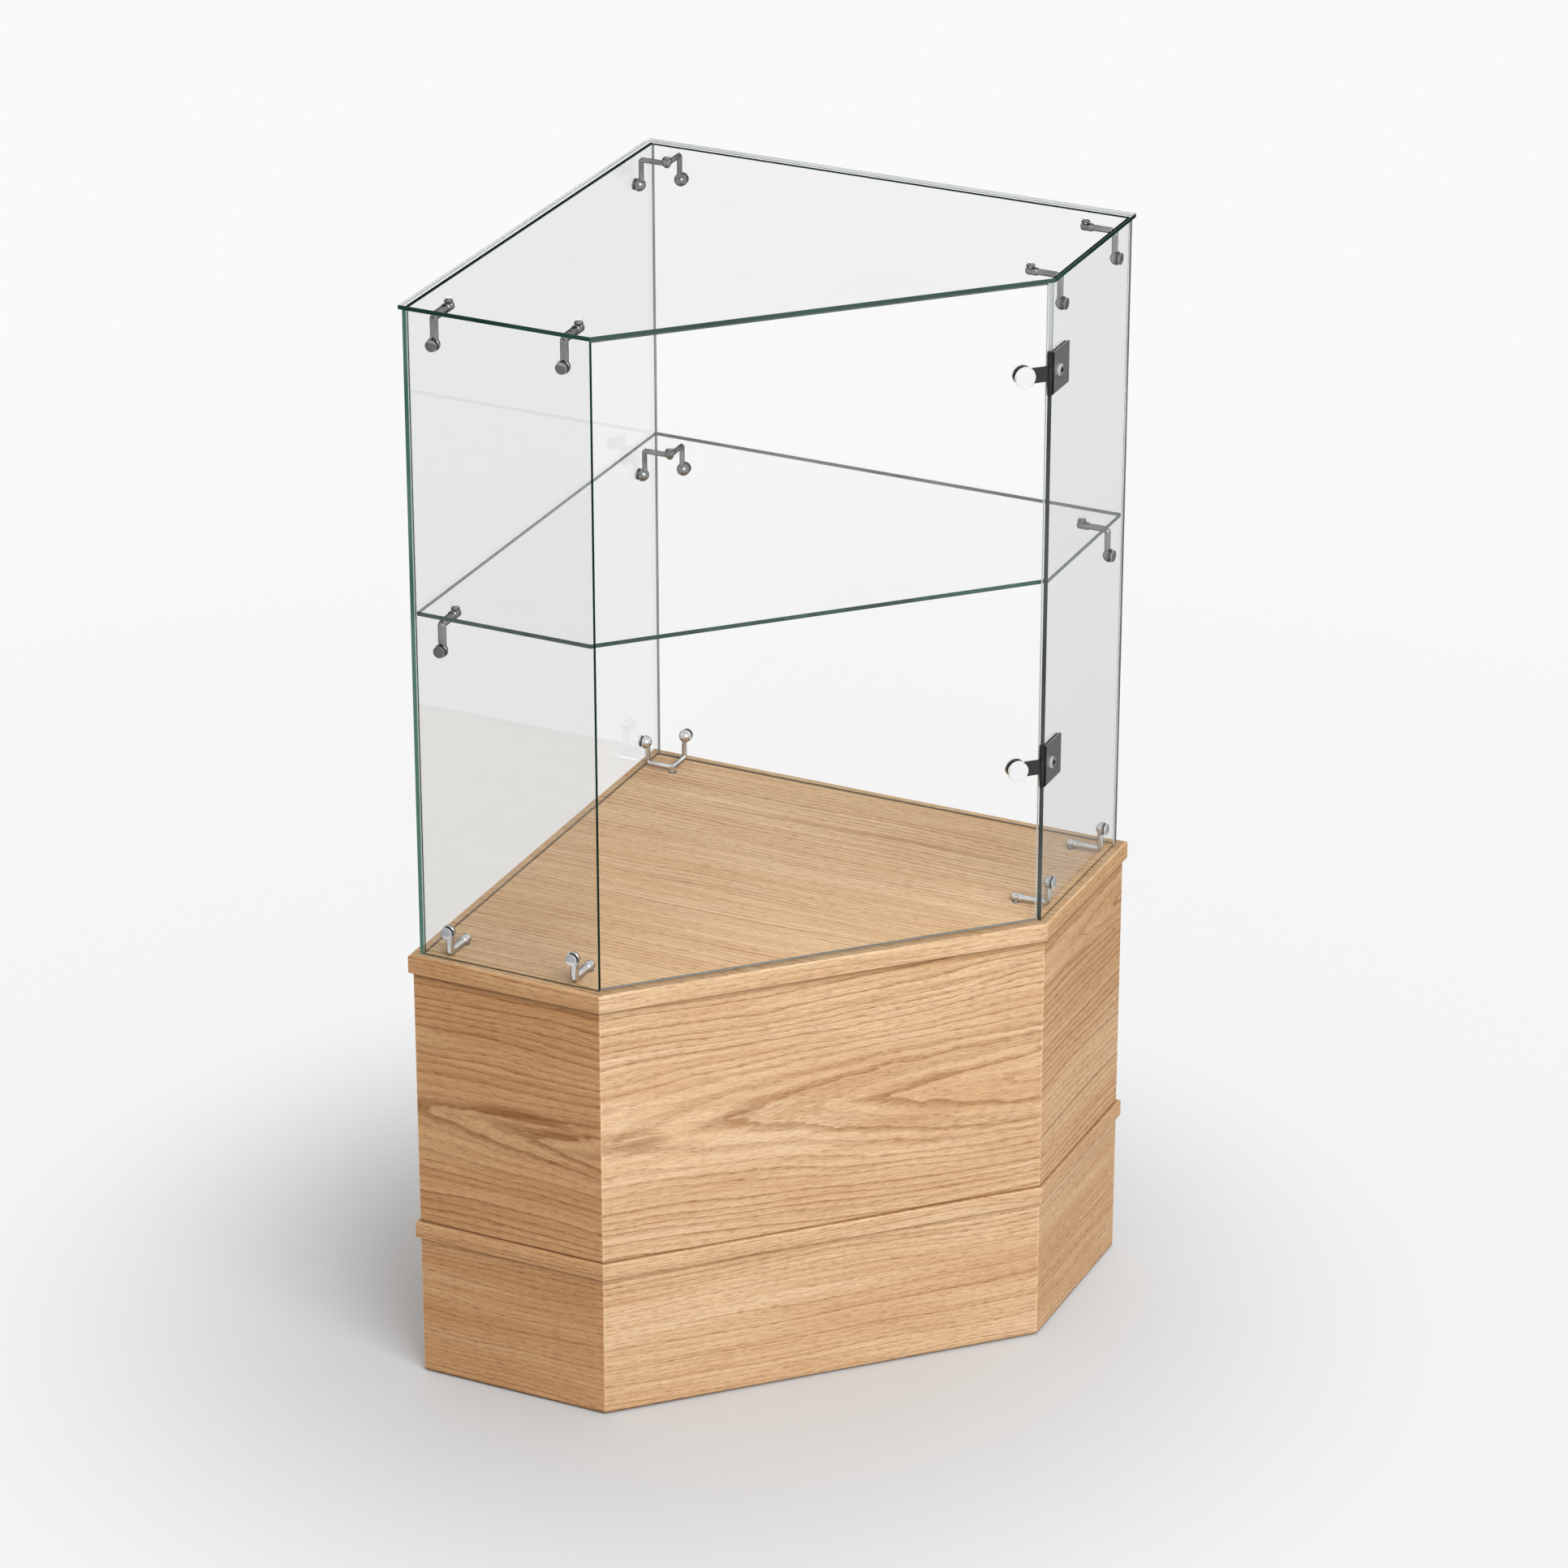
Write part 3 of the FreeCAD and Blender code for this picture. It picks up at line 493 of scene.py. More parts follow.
slab = flat_board("slab", "base_slab", rounding=0.002)
band = flat_board("bottom_board", "base_board", rounding=0.001)
print("slab", len(slab.data.polygons), "faces, bottom board", len(band.data.polygons), "faces")

# %% [markdown]
# ## Glass
#
# The panes are 5 mm float glass, cut square, with a narrow arris ground along every edge so that nobody gets cut. From
# the front such glass is nearly colourless. Through its edge the light has come a long way inside, and the trace of
# iron in it shows as dark green. An edge that catches light from behind is paler, so there are several edge finishes.
# A pane has clear faces, and each of its sides names the finish of its arrises and of the flat between them. The holes
# are real, because the screws run through them.
#
# Seen from behind, a level pane is a mirror for the lamp. The top plate and the shelf bend light much less than real
# glass does, which keeps that glare weak.

# %% Glass finishes
PLAIN_TINT = (0.965, 0.970, 0.967)
GREY_EDGE = ((0.050, 0.060, 0.056), (0.085, 0.100, 0.094))
LIT_FROM_BEHIND = (0.600, 0.625, 0.615)


def clear_glass(name, tint, bend, level=False):
    """Faces of a pane: clear, with a breath of wiping marks. Level panes mirror the lamp, so theirs only tint."""
    f = Finish(name)
    smear = f.noise(f.stretch(f.place, (3.0, 3.0, 1.4)), scale=3.0, detail=4.0, rough=0.6)
    f.set(IOR=bend, Transmission_Weight=1.0)
    if level:
        return f.set(Base_Color=f.mix(f.fit(smear, 0.5, 0.9), tint, tuple(0.985 * v for v in tint)), Roughness=0.0)
    return f.set(Base_Color=tint, Roughness=f.fit(smear, 0.5, 0.9, 0.0, 0.03))


def green_edge(name, dark, pale, gloss=0.5, bright_over=None):
    """Ground and polished edges: green, a little lighter in places, and bright over a height."""
    f = Finish(name)
    depth = f.noise(f.stretch(f.place, (9.0, 9.0, 9.0)), detail=3.0)
    ground = f.noise(f.stretch(f.place, (420.0, 420.0, 420.0)), detail=2.0)
    colour = f.mix(f.fit(depth, 0.3, 0.7), dark, pale)
    if bright_over:
        colour = f.mix(f.fit(f.dot(f.place, UP), bright_over, bright_over + 0.01), colour, LIT_FROM_BEHIND)
    f.bump(ground, 0.12, 0.0002)
    return f.set(Base_Color=colour, Roughness=f.fit(ground, 0.3, 0.7, 0.08, 0.2), Specular_IOR_Level=gloss)


# The panes are one glass, tinted pane by pane as painted shade and light: darkest the top plate, the back-left and the
# left pane, clearest the door and the back-right pane
glass_face = clear_glass("glass_face", PLAIN_TINT, 1.5)
glass_side = clear_glass("glass_side", (0.942, 0.945, 0.943), 1.5)
glass_top = clear_glass("glass_top", (0.918, 0.922, 0.919), 1.03, True)
glass_shelf = clear_glass("glass_shelf", PLAIN_TINT, 1.03, True)
glass_back = clear_glass("glass_back", (0.925, 0.930, 0.927), 1.25)
glass_door = clear_glass("glass_door", (1.0, 1.0, 1.0), 1.22)
EDGES = [
    green_edge("glass_edge", (0.008, 0.032, 0.023), (0.022, 0.066, 0.048)),
    green_edge("glass_edge_lit", (0.055, 0.145, 0.105), (0.110, 0.230, 0.175)),
    green_edge("glass_edge_grey", *GREY_EDGE),
    green_edge("glass_edge_pale", (0.140, 0.160, 0.152), (0.220, 0.245, 0.234)),
    green_edge("glass_edge_mitre", (0.006, 0.022, 0.016), (0.012, 0.036, 0.027), gloss=0.0),
    green_edge("glass_edge_bright", (0.720, 0.745, 0.735), (0.820, 0.840, 0.832)),
    green_edge("glass_edge_hinge", *GREY_EDGE, bright_over=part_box("hinge_body_upper")[1].z - 0.012),
]
GREEN, LIT, GREY, PALE, MITRED, BRIGHT, HINGED = [(k, k) for k in range(1, 8)]   # their places on a pane
FRAMED = (GREY[0], BRIGHT[0])   # bright between two grey lines
print(len(EDGES), "edge finishes")

# %% Pane maker
ARRIS = 0.0005
HOLE_ARRIS = 0.0003


def inset_loop(corners, inset):
    """A convex outline, counted anticlockwise or not, moved in by inset on every side."""
    centre = sum(corners, Vector((0, 0))) / len(corners)
    moved = []
    for before, corner, after in zip(corners[-1:] + corners, corners, corners[1:] + corners[:1]):
        normals = [Vector((a.y - b.y, b.x - a.x)).normalized() for a, b in ((before, corner), (corner, after))]
        first, second = [-n if n.dot(centre - corner) < 0 else n for n in normals]
        moved.append(corner + (first + second) * (inset / (1 + first.dot(second))))
    return moved


def circle(middle, radius, count=40):
    turn = 2 * math.pi / count
    return [middle + Vector((math.cos(turn * k), math.sin(turn * k))) * radius for k in range(count)]


def pane(name, node, body, corners, holes, to_place, face, ends):
    """Pane with arrises. corners is its outline on its own face, holes are (middle, steps), each step a radius and a
    depth, and to_place turns a point of the face and a depth into a place on the case. ends gives the finishes of
    sides that aren't dark green, as a pair for the arrises and the flat between them. Drilled holes are pale."""
    rim = [(ARRIS, 0.0), (0.0, ARRIS), (0.0, GLASS - ARRIS), (ARRIS, GLASS)]

    def build(bm):
        stacks = [[(inset_loop(corners, inset), depth) for inset, depth in rim]]
        for middle, steps in holes:
            stacks.append([(circle(middle, radius), depth) for radius, depth in steps])
        caps = ([], [])
        for stack in stacks:
            loops = [[bm.verts.new(to_place(p, depth)) for p in loop] for loop, depth in stack]
            for step, (lower, upper) in enumerate(zip(loops, loops[1:])):
                for k, side in enumerate(hoop(bm, lower, upper)):
                    side.material_index = ends.get(k, GREEN)[step == 1] if stack is stacks[0] else PALE[0]
            for cap, loop in zip(caps, (loops[0], loops[-1])):
                cap += [bm.edges.get(pair) for pair in zip(loop, loop[1:] + loop[:1])]
        for cap in caps:
            bmesh.ops.triangle_fill(bm, use_beauty=True, use_dissolve=False, edges=cap)

    made = piece(name, build, [face] + EDGES, body, node)
    made.visible_shadow = False
    return made


# %% [markdown]
# Light that falls through clear glass keeps almost all its strength, but a path tracer finds such light only by luck.
# So the panes cast no shadow of their own: lamps reach the shelf and the slab as they do in a real case, and the
# picture stays free of grain.

# %% Places of the clips, and their holes
CLIP_INSET = 0.034                          # plain clips, in from the ends of a pane
CLIP_LEG = 0.036
SLAB_LEG = 0.032
CORNER = GLASS_OUT - 0.042                  # legs of the corner brackets
DOOR_OUT = SHORT - GLASS_INSET * ROOT2      # outer face of the door, along the short sides
FRONT_Y = GLASS_OUT - DOOR_OUT              # front end of the right pane
REAR = GLASS_OUT - CLIP_INSET
FRONT = FRONT_Y + CLIP_INSET
LEVELS = {"top": WALL_TOP - CLIP_LEG, "shelf": SHELF_LOW - CLIP_LEG, "base": SLAB_TOP + SLAB_LEG}
HINGES = ("upper", "lower")
BOLT_Y = FRONT_Y + 0.012
BOLT_HEIGHTS = [sum(corner.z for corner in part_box("hinge_body_" + hinge)) / 2 for hinge in HINGES]


def drilled(radius, sink=HOLE_ARRIS):
    """Steps of a hole through a pane, with its far rim sunk for a screw's head or just broken."""
    return [(radius + HOLE_ARRIS, 0.0), (radius, HOLE_ARRIS), (radius, GLASS - sink), (radius + sink, GLASS)]


STRAIGHT = drilled(0.0035)
SUNK = drilled(0.0035, sink=0.0015)
BOLT_HOLE = drilled(0.005)
print("clips at", {level: round(z, 4) for level, z in LEVELS.items()})

# %% [markdown]
# The left pane and the door are mitred where they meet, almost touching. The sharp outer edge of a mitre chips easily,
# so it has a wider arris.

# %% Upright panes
MITRE = DOOR_OUT - GLASS_OUT                # outer end of the left pane, along X
MITRE_SLOPE = math.tan(math.radians(22.5))
MITRE_GAP = 0.0001 / math.cos(math.radians(22.5))
MITRE_END = 0.002                           # what lies this near to the end is slanted
WIDE_ARRIS = 0.0005


def slanted(depth):
    """How far a mitred end is set back at a depth under the outer face."""
    return depth * MITRE_SLOPE + (WIDE_ARRIS if depth == 0 else 0)


def wall_pane(name, across, clips, face, ends):
    """Upright pane along X or Y. clips gives, for each level, the places of its screws along the pane."""
    low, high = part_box(name)
    low_end, high_end = getattr(low, across), getattr(high, across)
    if name == "glass_left":
        high_end = MITRE - MITRE_GAP
    corners = [Vector(p) for p in ((low_end, low.z), (high_end, low.z), (high_end, high.z), (low_end, high.z))]
    holes = [(Vector((place, LEVELS[level])), STRAIGHT) for level, places in clips.items() for place in places]
    if name == "glass_right":
        holes += [(Vector((BOLT_Y, height)), BOLT_HOLE) for height in BOLT_HEIGHTS]

    def to_place(p, depth):
        if across == "y":
            return (low.x + depth, p.x, p.y)
        mitred = name == "glass_left" and p.x > high_end - MITRE_END
        return (p.x - (slanted(depth) if mitred else 0), low.y + depth, p.y)

    return pane("pane" + name[5:], name, "case", corners, holes, to_place, face, ends)


wall_pane("glass_back_left", "y", dict.fromkeys(LEVELS, [CORNER]), glass_back, {0: PALE, 1: PALE, 3: LIT})
wall_pane("glass_back_right", "x", dict.fromkeys(LEVELS, [-CORNER]), glass_door, {0: PALE, 1: PALE, 3: PALE})
wall_pane("glass_left", "x", {"top": [-REAR, -FRONT], "shelf": [-REAR], "base": [-REAR, -FRONT]}, glass_side,
          {1: MITRED})
wall_pane("glass_right", "y", {"top": [REAR, FRONT], "shelf": [REAR], "base": [REAR, FRONT]}, glass_face,
          {1: FRAMED, 3: (GREY[0], HINGED[0])})
print("left pane ends at", round(MITRE, 4), "along X, right pane at", round(FRONT_Y, 4), "along Y")

# %% Top plate and shelf
INWARD = GLASS_IN - CLIP_LEG
REAR_EYES = [Vector((-CORNER, CORNER)), Vector((-REAR, -INWARD)), Vector((INWARD, REAR))]
FRONT_EYES = [Vector((-FRONT, -INWARD)), Vector((INWARD, FRONT))]


def level_pane(name, node, corners, eyes, face, behind):
    """Level plate with countersunk holes, and paler ends behind."""
    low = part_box(node)[0].z
    holes = [(eye, SUNK) for eye in eyes]
    return pane(name, node, "case", corners, holes, lambda p, d: (p.x, p.y, low + d), face, {0: behind, 4: behind})


top_plate = level_pane("pane_top", "glass_top", outline(-0.003), REAR_EYES + FRONT_EYES, glass_top, FRAMED)
shelf = level_pane("pane_shelf", "glass_shelf", outline(-0.012, -0.015), REAR_EYES, glass_shelf, PALE)
print("top plate", len(top_plate.data.polygons), "faces, shelf", len(shelf.data.polygons), "faces")

# %% Door pane
DOOR_FACE = DOOR_OUT / ROOT2        # outer face of the door, out from the middle of the case
FREE_END = -GLASS_OUT * ALONG_DOOR.y + MITRE * ALONG_DOOR.x - MITRE_GAP    # outer edge of the door's free end
door_run = [v.co.dot(ALONG_DOOR) for v in nodes["door_glass"].data.vertices]
hung_end = min(door_run)
door_low, door_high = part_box("door_glass")
door_corners = [Vector(p) for p in (
    (hung_end, door_low.z), (FREE_END, door_low.z), (FREE_END, door_high.z), (hung_end, door_high.z))]
stud_holes = []
for hinge in HINGES:
    middle = sum(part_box("hinge_inner_disc_" + hinge), Vector()) / 2
    stud_holes.append((Vector((middle.dot(ALONG_DOOR), middle.z)), BOLT_HOLE))


def door_place(p, depth):
    """Point of the door's face, depth counted from inside. The free end is mitred."""
    back = slanted(GLASS - depth) if p.x > FREE_END - MITRE_END else 0
    return ALONG_DOOR * (p.x - back) + OUT_OF_DOOR * (DOOR_FACE - GLASS + depth) + UP * p.y


pane("pane_door", "door_glass", "door", door_corners, stud_holes, door_place, glass_door,
     {0: PALE, 1: MITRED, 3: BRIGHT})
print("door", round(FREE_END - hung_end, 4), "wide, from the solid", round(max(door_run) - hung_end, 4))

# %% [markdown]
# ## Metal, rubber and hidden wood
#
# The clips are chromed steel rods. Chrome is a mirror with a slightly blue grey tint, and after some use it has fine
# rubbing marks, so its roughness wanders a little. Here its colour is darker than chrome's and its mirror goes black
# at grazing angles, as painted shade, and near the wood it is painted paler, as a reflection of the bright slab. The
# hinge plates are dark satin steel with a brushed grain and a black lip, the arms are black lacquer, and the pads and
# glides are rubber and plastic. The hidden wood gets a plain finish, because it shows only when somebody looks
# underneath.

# %% Metal finishes


def polished(name, dark, pale, low, high, metallic=1.0, rim=(1.0, 1.0, 1.0)):
    """Plated metal with faint rubbing marks. rim is its tint where the light only grazes it, black for painted shade.
    """
    f = Finish(name)
    rub = f.noise(f.stretch(f.place, (160.0, 160.0, 60.0)), detail=4.0, rough=0.6)
    cloud = f.noise(f.stretch(f.place, (35.0, 35.0, 35.0)), detail=2.0)
    f.bump(rub, 0.04, 0.0001)
    return f.set(Base_Color=f.mix(f.fit(cloud, 0.3, 0.7), dark, pale), Metallic=metallic, Specular_Tint=rim,
                 Roughness=f.fit(rub, 0.3, 0.75, low, high))


def satin(name, dark, pale, grain, metallic, low, high, black_before=None):
    """Brushed or lacquered surface, with a grain along one direction. It is blackened before a place along Y."""
    f = Finish(name)
    lines = f.noise(f.stretch(f.place, grain), detail=3.0, rough=0.65)
    f.bump(lines, 0.1, 0.0001)
    colour = f.mix(f.fit(lines, 0.3, 0.7), dark, pale)
    if black_before is not None:
        lip = f.fit(f.dot(f.place, Y_WAY), black_before - 0.0010, black_before - 0.0004, 1.0, 0.0)
        colour = f.mix(lip, colour, (0.020, 0.019, 0.018))
    return f.set(Base_Color=colour, Metallic=metallic, Roughness=f.fit(lines, 0.25, 0.75, low, high))


def socket_shaded(name, dark, pale):
    """Chrome of the domed bolts, with painted shade in their sockets."""
    f = Finish(name)
    rub = f.noise(f.stretch(f.place, (500.0, 500.0, 500.0)), detail=3.0)
    near = f.math("MINIMUM", *[f.math("ABSOLUTE", f.math("SUBTRACT", f.dot(f.place, UP), z)) for z in BOLT_HEIGHTS])
    aside = f.math("SUBTRACT", f.dot(f.place, Y_WAY), BOLT_Y)
    away = f.math("SQRT", f.math("MULTIPLY_ADD", aside, aside, f.math("MULTIPLY", near, near)))
    worn = f.mix(rub, dark, pale)
    # Near black in the socket: painted shade in the recess
    return f.set(Base_Color=f.mix(f.fit(away, 0.0028, 0.0033), (0.012, 0.011, 0.010), worn), Metallic=0.5,
                 Roughness=f.fit(rub, 0.3, 0.7, 0.08, 0.2))


# A black rim darkens the edges of the chrome: painted shade
PAINTED_DARK_RIM = (0.0, 0.0, 0.0)
# Chrome darker than real chrome, as painted shade, and copies painted paler near the wood, as a reflection
chrome = polished("chrome", (0.21, 0.211, 0.212), (0.33, 0.331, 0.332), 0.03, 0.10, 1.0, PAINTED_DARK_RIM)
pale_painted_chrome = polished("chrome_painted_pale", (0.62, 0.623, 0.626), (0.76, 0.763, 0.766), 0.04, 0.12, 1.0, PAINTED_DARK_RIM)
screw_chrome = polished("screw_chrome", (0.24, 0.242, 0.245), (0.38, 0.382, 0.385), 0.08, 0.18, 0.5)
pale_painted_screw_chrome = polished("screw_chrome_painted_pale", (0.62, 0.623, 0.627), (0.74, 0.743, 0.747), 0.08, 0.18, 0.35)
bright_chrome = polished("bright_chrome", (0.93, 0.935, 0.94), (0.97, 0.972, 0.975), 0.04, 0.12)
bolt_chrome = socket_shaded("bolt_chrome", (0.50, 0.502, 0.505), (0.62, 0.622, 0.625))
hinge_steel = satin("hinge_steel", (0.18, 0.181, 0.18), (0.27, 0.271, 0.269), (90.0, 900.0, 900.0), 0.35, 0.36, 0.52,
                    black_before=FRONT_Y)
hinge_black = satin("hinge_black", (0.012, 0.012, 0.013), (0.022, 0.022, 0.024), (700.0, 700.0, 120.0), 0.0, 0.30,
                    0.45)
pad_rubber = satin("pad_rubber", (0.05, 0.05, 0.05), (0.09, 0.09, 0.09), (600.0, 600.0, 600.0), 0.0, 0.6, 0.8)
nylon = satin("grey_nylon", (0.11, 0.11, 0.11), (0.16, 0.16, 0.16), (300.0, 300.0, 300.0), 0.0, 0.4, 0.55)
plain_wood = satin("plain_wood", (0.50, 0.35, 0.20), (0.64, 0.48, 0.30), (40.0, 260.0, 16.0), 0.0, 0.55, 0.75)
print(len(bpy.data.materials), "finishes by now")

# %% [markdown]
# The solids of the hinges, washers, glides and hidden wood are right as they are and only need their finishes. The
# back plates of the hinges are the exception: they would show over the plates in front of them, so each is made again,
# a little shorter at the top and at the bottom.

# %% Hinges, washers and hidden wood
PLATE_CUT = 0.0035      # taken off the top and the bottom of a back plate
PLATE_CORE = 0.015      # what lies nearer to its middle, such as the hole for the bolt, stays
NODE_FINISHES = {
    bright_chrome: ("top_screws", "shelf_screws", "hinge_cap", "hinge_inner_disc"),
    bolt_chrome: ("hinge_bolts",),
    hinge_steel: ("hinge_body", "hinge_pin"),
    hinge_black: ("hinge_arm",),
    nylon: ("glass_washers",),
    pad_rubber: ("hinge_glass_pads", "hinge_door_pads", "floor_glides"),
    plain_wood: ("base_corner_battens", "plinth_corner_blocks", "slab_dowels", "base_dowels", "plinth_dowels"),
}


def clamp_plate(hinge):
    """Back plate of a hinge, shorter than its solid."""
    plate = nodes["hinge_back_plate_" + hinge]
    middle = sum(corner.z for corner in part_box(plate.name)) / 2

    def build(bm):
        bm.from_mesh(plate.data)
        for v in bm.verts:
            if abs(v.co.z - middle) > PLATE_CORE:
                v.co.z -= math.copysign(PLATE_CUT, v.co.z - middle)

    return soften(piece("clamp_plate_" + hinge, build, [hinge_steel], "case", plate.name))


for hinge in HINGES:
    clamp_plate(hinge)
dressed = 0
for finish, starts in NODE_FINISHES.items():
    for node in [node for name, node in nodes.items() if name.startswith(starts)]:
        dress(node, finish)
        dressed += 1
print(dressed, "nodes dressed in metal, rubber and plain wood")

# %% [markdown]
# ## Clips
#
# A clip is a chromed rod with one tight corner. One end carries a domed eye against a pane, the other a turned knob
# under the plate or on the slab. A corner bracket has a leg on each back pane, and is held at the elbow between them.
# The solids have the same pieces with the wide bends and flat eyes of plain bar stock. Here each clip is made again as
# one mesh: a rod with cut corners, joined with turned pieces and drilled for its screws.

# %% Rods and turned pieces
CORNER_CUT = 0.0018


def stacked(loops):
    """Closed mesh through a stack of loops of points."""
    bm = bmesh.new()
    rings = [[bm.verts.new(p) for p in loop] for loop in loops]
    for lower, upper in zip(rings, rings[1:]):
        hoop(bm, lower, upper)
    bm.faces.new(rings[-1])
    bm.faces.new(reversed(rings[0]))
    bmesh.ops.recalc_face_normals(bm, faces=bm.faces)
    return as_mesh("shape", bm)


def ring_about(middle, axis, radius, count=40):
    """Points of a circle round an axis."""
    aside = axis.orthogonal().normalized() * radius
    return [middle + Quaternion(axis, 2 * math.pi * k / count) @ aside for k in range(count)]


def rod(points, radius):
    """Round rod along a line of points, with its corners cut in two steps."""
    path = [points[0]]
    for before, corner, after in zip(points, points[1:], points[2:]):
        path += [corner + (end - corner).normalized() * CORNER_CUT for end in (before, after)]
    path.append(points[-1])
    ways = [(b - a).normalized() for a, b in zip(path, path[1:])]
    loops = [ring_about(path[0], ways[0], radius)]
    for point, into, out in zip(path[1:], ways, ways[1:] + ways[-1:]):
        cut = into + out
        loops.append([p + into * ((point - p).dot(cut) / into.dot(cut)) for p in loops[-1]])
    return stacked(loops)


def turned(base, axis, profile):
    """Turned piece, from (radius, height) pairs along its axis."""
    return stacked([ring_about(base + axis * height, axis, radius) for radius, height in profile])


def arc(radius, start, rise, steps):
    """Profile of a domed end."""
    turn = [math.radians(85 * k / steps) for k in range(steps + 1)]
    return [(radius * math.cos(a), start + rise * math.sin(a)) for a in turn]


def dome(radius, straight, height):
    """Profile of a disc with a domed far face."""
    return [(radius - 0.0004, 0.0), (radius, 0.0004)] + arc(radius, straight, height - straight, 9)


def joined(first, added, drills):
    """One mesh from several: pieces are added to the first, then the drills are taken away."""
    work = bpy.data.objects.new("work", first)
    tools = [work]
    for operation, meshes in (("UNION", added), ("DIFFERENCE", drills)):
        for mesh in meshes:
            tool = bpy.data.objects.new("tool", mesh)
            step = work.modifiers.new("step", "BOOLEAN")
            step.operation, step.object, step.solver = operation, tool, "EXACT"
            tools.append(tool)
    for tool in tools:
        bpy.context.scene.collection.objects.link(tool)
    bpy.context.view_layer.update()
    made = bpy.data.meshes.new_from_object(work.evaluated_get(bpy.context.evaluated_depsgraph_get()))
    for tool in tools:
        bpy.data.objects.remove(tool)
    return made


# %% Profiles and places
DOMED_EYE = dome(0.0076, 0.0012, 0.0092)
DOMED_BOSS = dome(0.0056, 0.0020, 0.0108)
FLAT_BOSS = [(0.0032, 0.0), (0.0036, 0.0004), (0.0036, 0.0070), (0.0032, 0.0074)]
KNOB = [(0.0048, 0.0), (0.0055, 0.0007), (0.0055, 0.0050), (0.0047, 0.0056), (0.0047, 0.0064), (0.0055, 0.0070),
        *arc(0.0055, 0.0110, 0.0035, 5)]
KNOB_BEHIND = 0.0085    # start of a knob, behind the screw that holds it
HEAD = 0.0016           # height of a screw's head
SCREW = [(0.0056, 0.0), (0.0066, 0.0005), (0.0068, 0.0010), (0.0068, HEAD), (0.0024, HEAD), (0.0024, 0.0131)]
SLAB_SCREW = [(0.0016, 0.0), (0.0024, 0.0010), (0.0024, 0.0202)]
SLAB_BITE = 0.0140      # how far a slab screw reaches into the slab
STAND = 0.0048          # middle of a rod, off the pane that it lies along
LEVEL_STAND = 0.0060    # the same, off the plate, the shelf or the slab
WASHER = 0.0005
SLAB_ARM = 0.040
LEVEL_FACES = {"top": WALL_TOP, "shelf": SHELF_LOW, "base": SLAB_TOP}
FEET = {
    "left_rear": (Vector((-REAR, -GLASS_IN, 0)), Y_WAY), "left_front": (Vector((-FRONT, -GLASS_IN, 0)), Y_WAY),
    "right_rear": (Vector((GLASS_IN, REAR, 0)), -X_WAY), "right_front": (Vector((GLASS_IN, FRONT, 0)), -X_WAY),
}
BRACKET_FEET = [(Vector((-GLASS_IN, CORNER, 0)), X_WAY), (Vector((-CORNER, GLASS_IN, 0)), -Y_WAY)]
ELBOW = Vector((-CORNER, CORNER, 0))
THICK, THIN = 0.0045, 0.0034        # radii of the rods on the left and on the right
BRACKET_RADIUS = 0.0030
SLIMMEST = 0.82                     # knob of a thin rod, as a share of a full one
wall_screws = []
slab_screws = []
print("clip eyes stand", round(DOMED_EYE[-1][1], 4), "off the glass, knobs are", 2 * KNOB[1][0], "thick")

# %% Clips


def drill(face, way, depth):
    """Hole for a screw, to a depth over a face."""
    start, radius = 0.001, 0.0025
    return turned(face - way * start, way, [(radius, 0.0), (radius, start + depth)])


def eye_and_drill(foot, inward, level):
    """Eye on a pane and the hole in it. The screw that holds it is noted for later."""
    base = foot + UP * LEVELS[level] + inward * WASHER
    wall_screws.append((turned(base - inward * (GLASS + 2 * WASHER + HEAD), inward, SCREW), level == "base"))
    return turned(base, inward, DOMED_EYE), drill(base, inward, 0.0062)


def hold_and_drill(place, level, along, radius):
    """Knob along the end of a rod, or boss at an elbow, and the hole in it for the screw through the level face."""
    away = UP if level == "base" else -UP
    face = place + UP * LEVEL_FACES[level]
    if along:
        slim = max(radius / THICK, SLIMMEST)
        knob = [(slim * across, height) for across, height in KNOB]
        shape = turned(face + away * LEVEL_STAND - along * KNOB_BEHIND, along, knob)
    else:
        shape = turned(face + away * WASHER, away, FLAT_BOSS if level == "base" else DOMED_BOSS)
    if level == "base":
        slab_screws.append((turned(face - UP * SLAB_BITE, UP, SLAB_SCREW), True))
    return shape, drill(face, away, 0.0068 if level == "base" else 0.0098)


def clip(name, node, level, feet, place, radius):
    """Clip or bracket: a leg from each eye to the level face, and a hold at the place where it is screwed there."""
    rise = UP * (LEVEL_FACES[level] + (LEVEL_STAND if level == "base" else -LEVEL_STAND))
    legs = [[foot + inward * STAND + UP * LEVELS[level], foot + inward * STAND + rise] for foot, inward in feet]
    plain = len(feet) == 1
    line = legs[0] + [place + rise] + ([] if plain else legs[1][::-1])
    turnings = [eye_and_drill(foot, inward, level) for foot, inward in feet]
    turnings.append(hold_and_drill(place, level, feet[0][1] if plain else None, radius))
    shapes, drills = zip(*turnings)
    made = joined(rod(line, radius), shapes, drills)
    # Clips on the slab get chrome painted paler, as a reflection of the slab
    finish = pale_painted_chrome if level == "base" else chrome
    return soften(piece(name, lambda bm: bm.from_mesh(made), [finish], "case", node))


for level, sides in (("top", list(FEET)), ("shelf", ["left_rear", "right_rear"]), ("base", list(FEET))):
    for side in sides:
        foot, inward = FEET[side]
        place = foot + inward * (SLAB_ARM if level == "base" else CLIP_LEG)
        radius = THICK if side.startswith("left") else THIN
        clip(f"rod_{level}_{side}", f"clip_{level}_{side}", level, [(foot, inward)], place, radius)
    bracket = clip(f"rod_{level}_corner", f"corner_bracket_{level}", level, BRACKET_FEET, ELBOW, BRACKET_RADIUS)
print("a bracket has", len(bracket.data.polygons), "faces")

# %% Screws


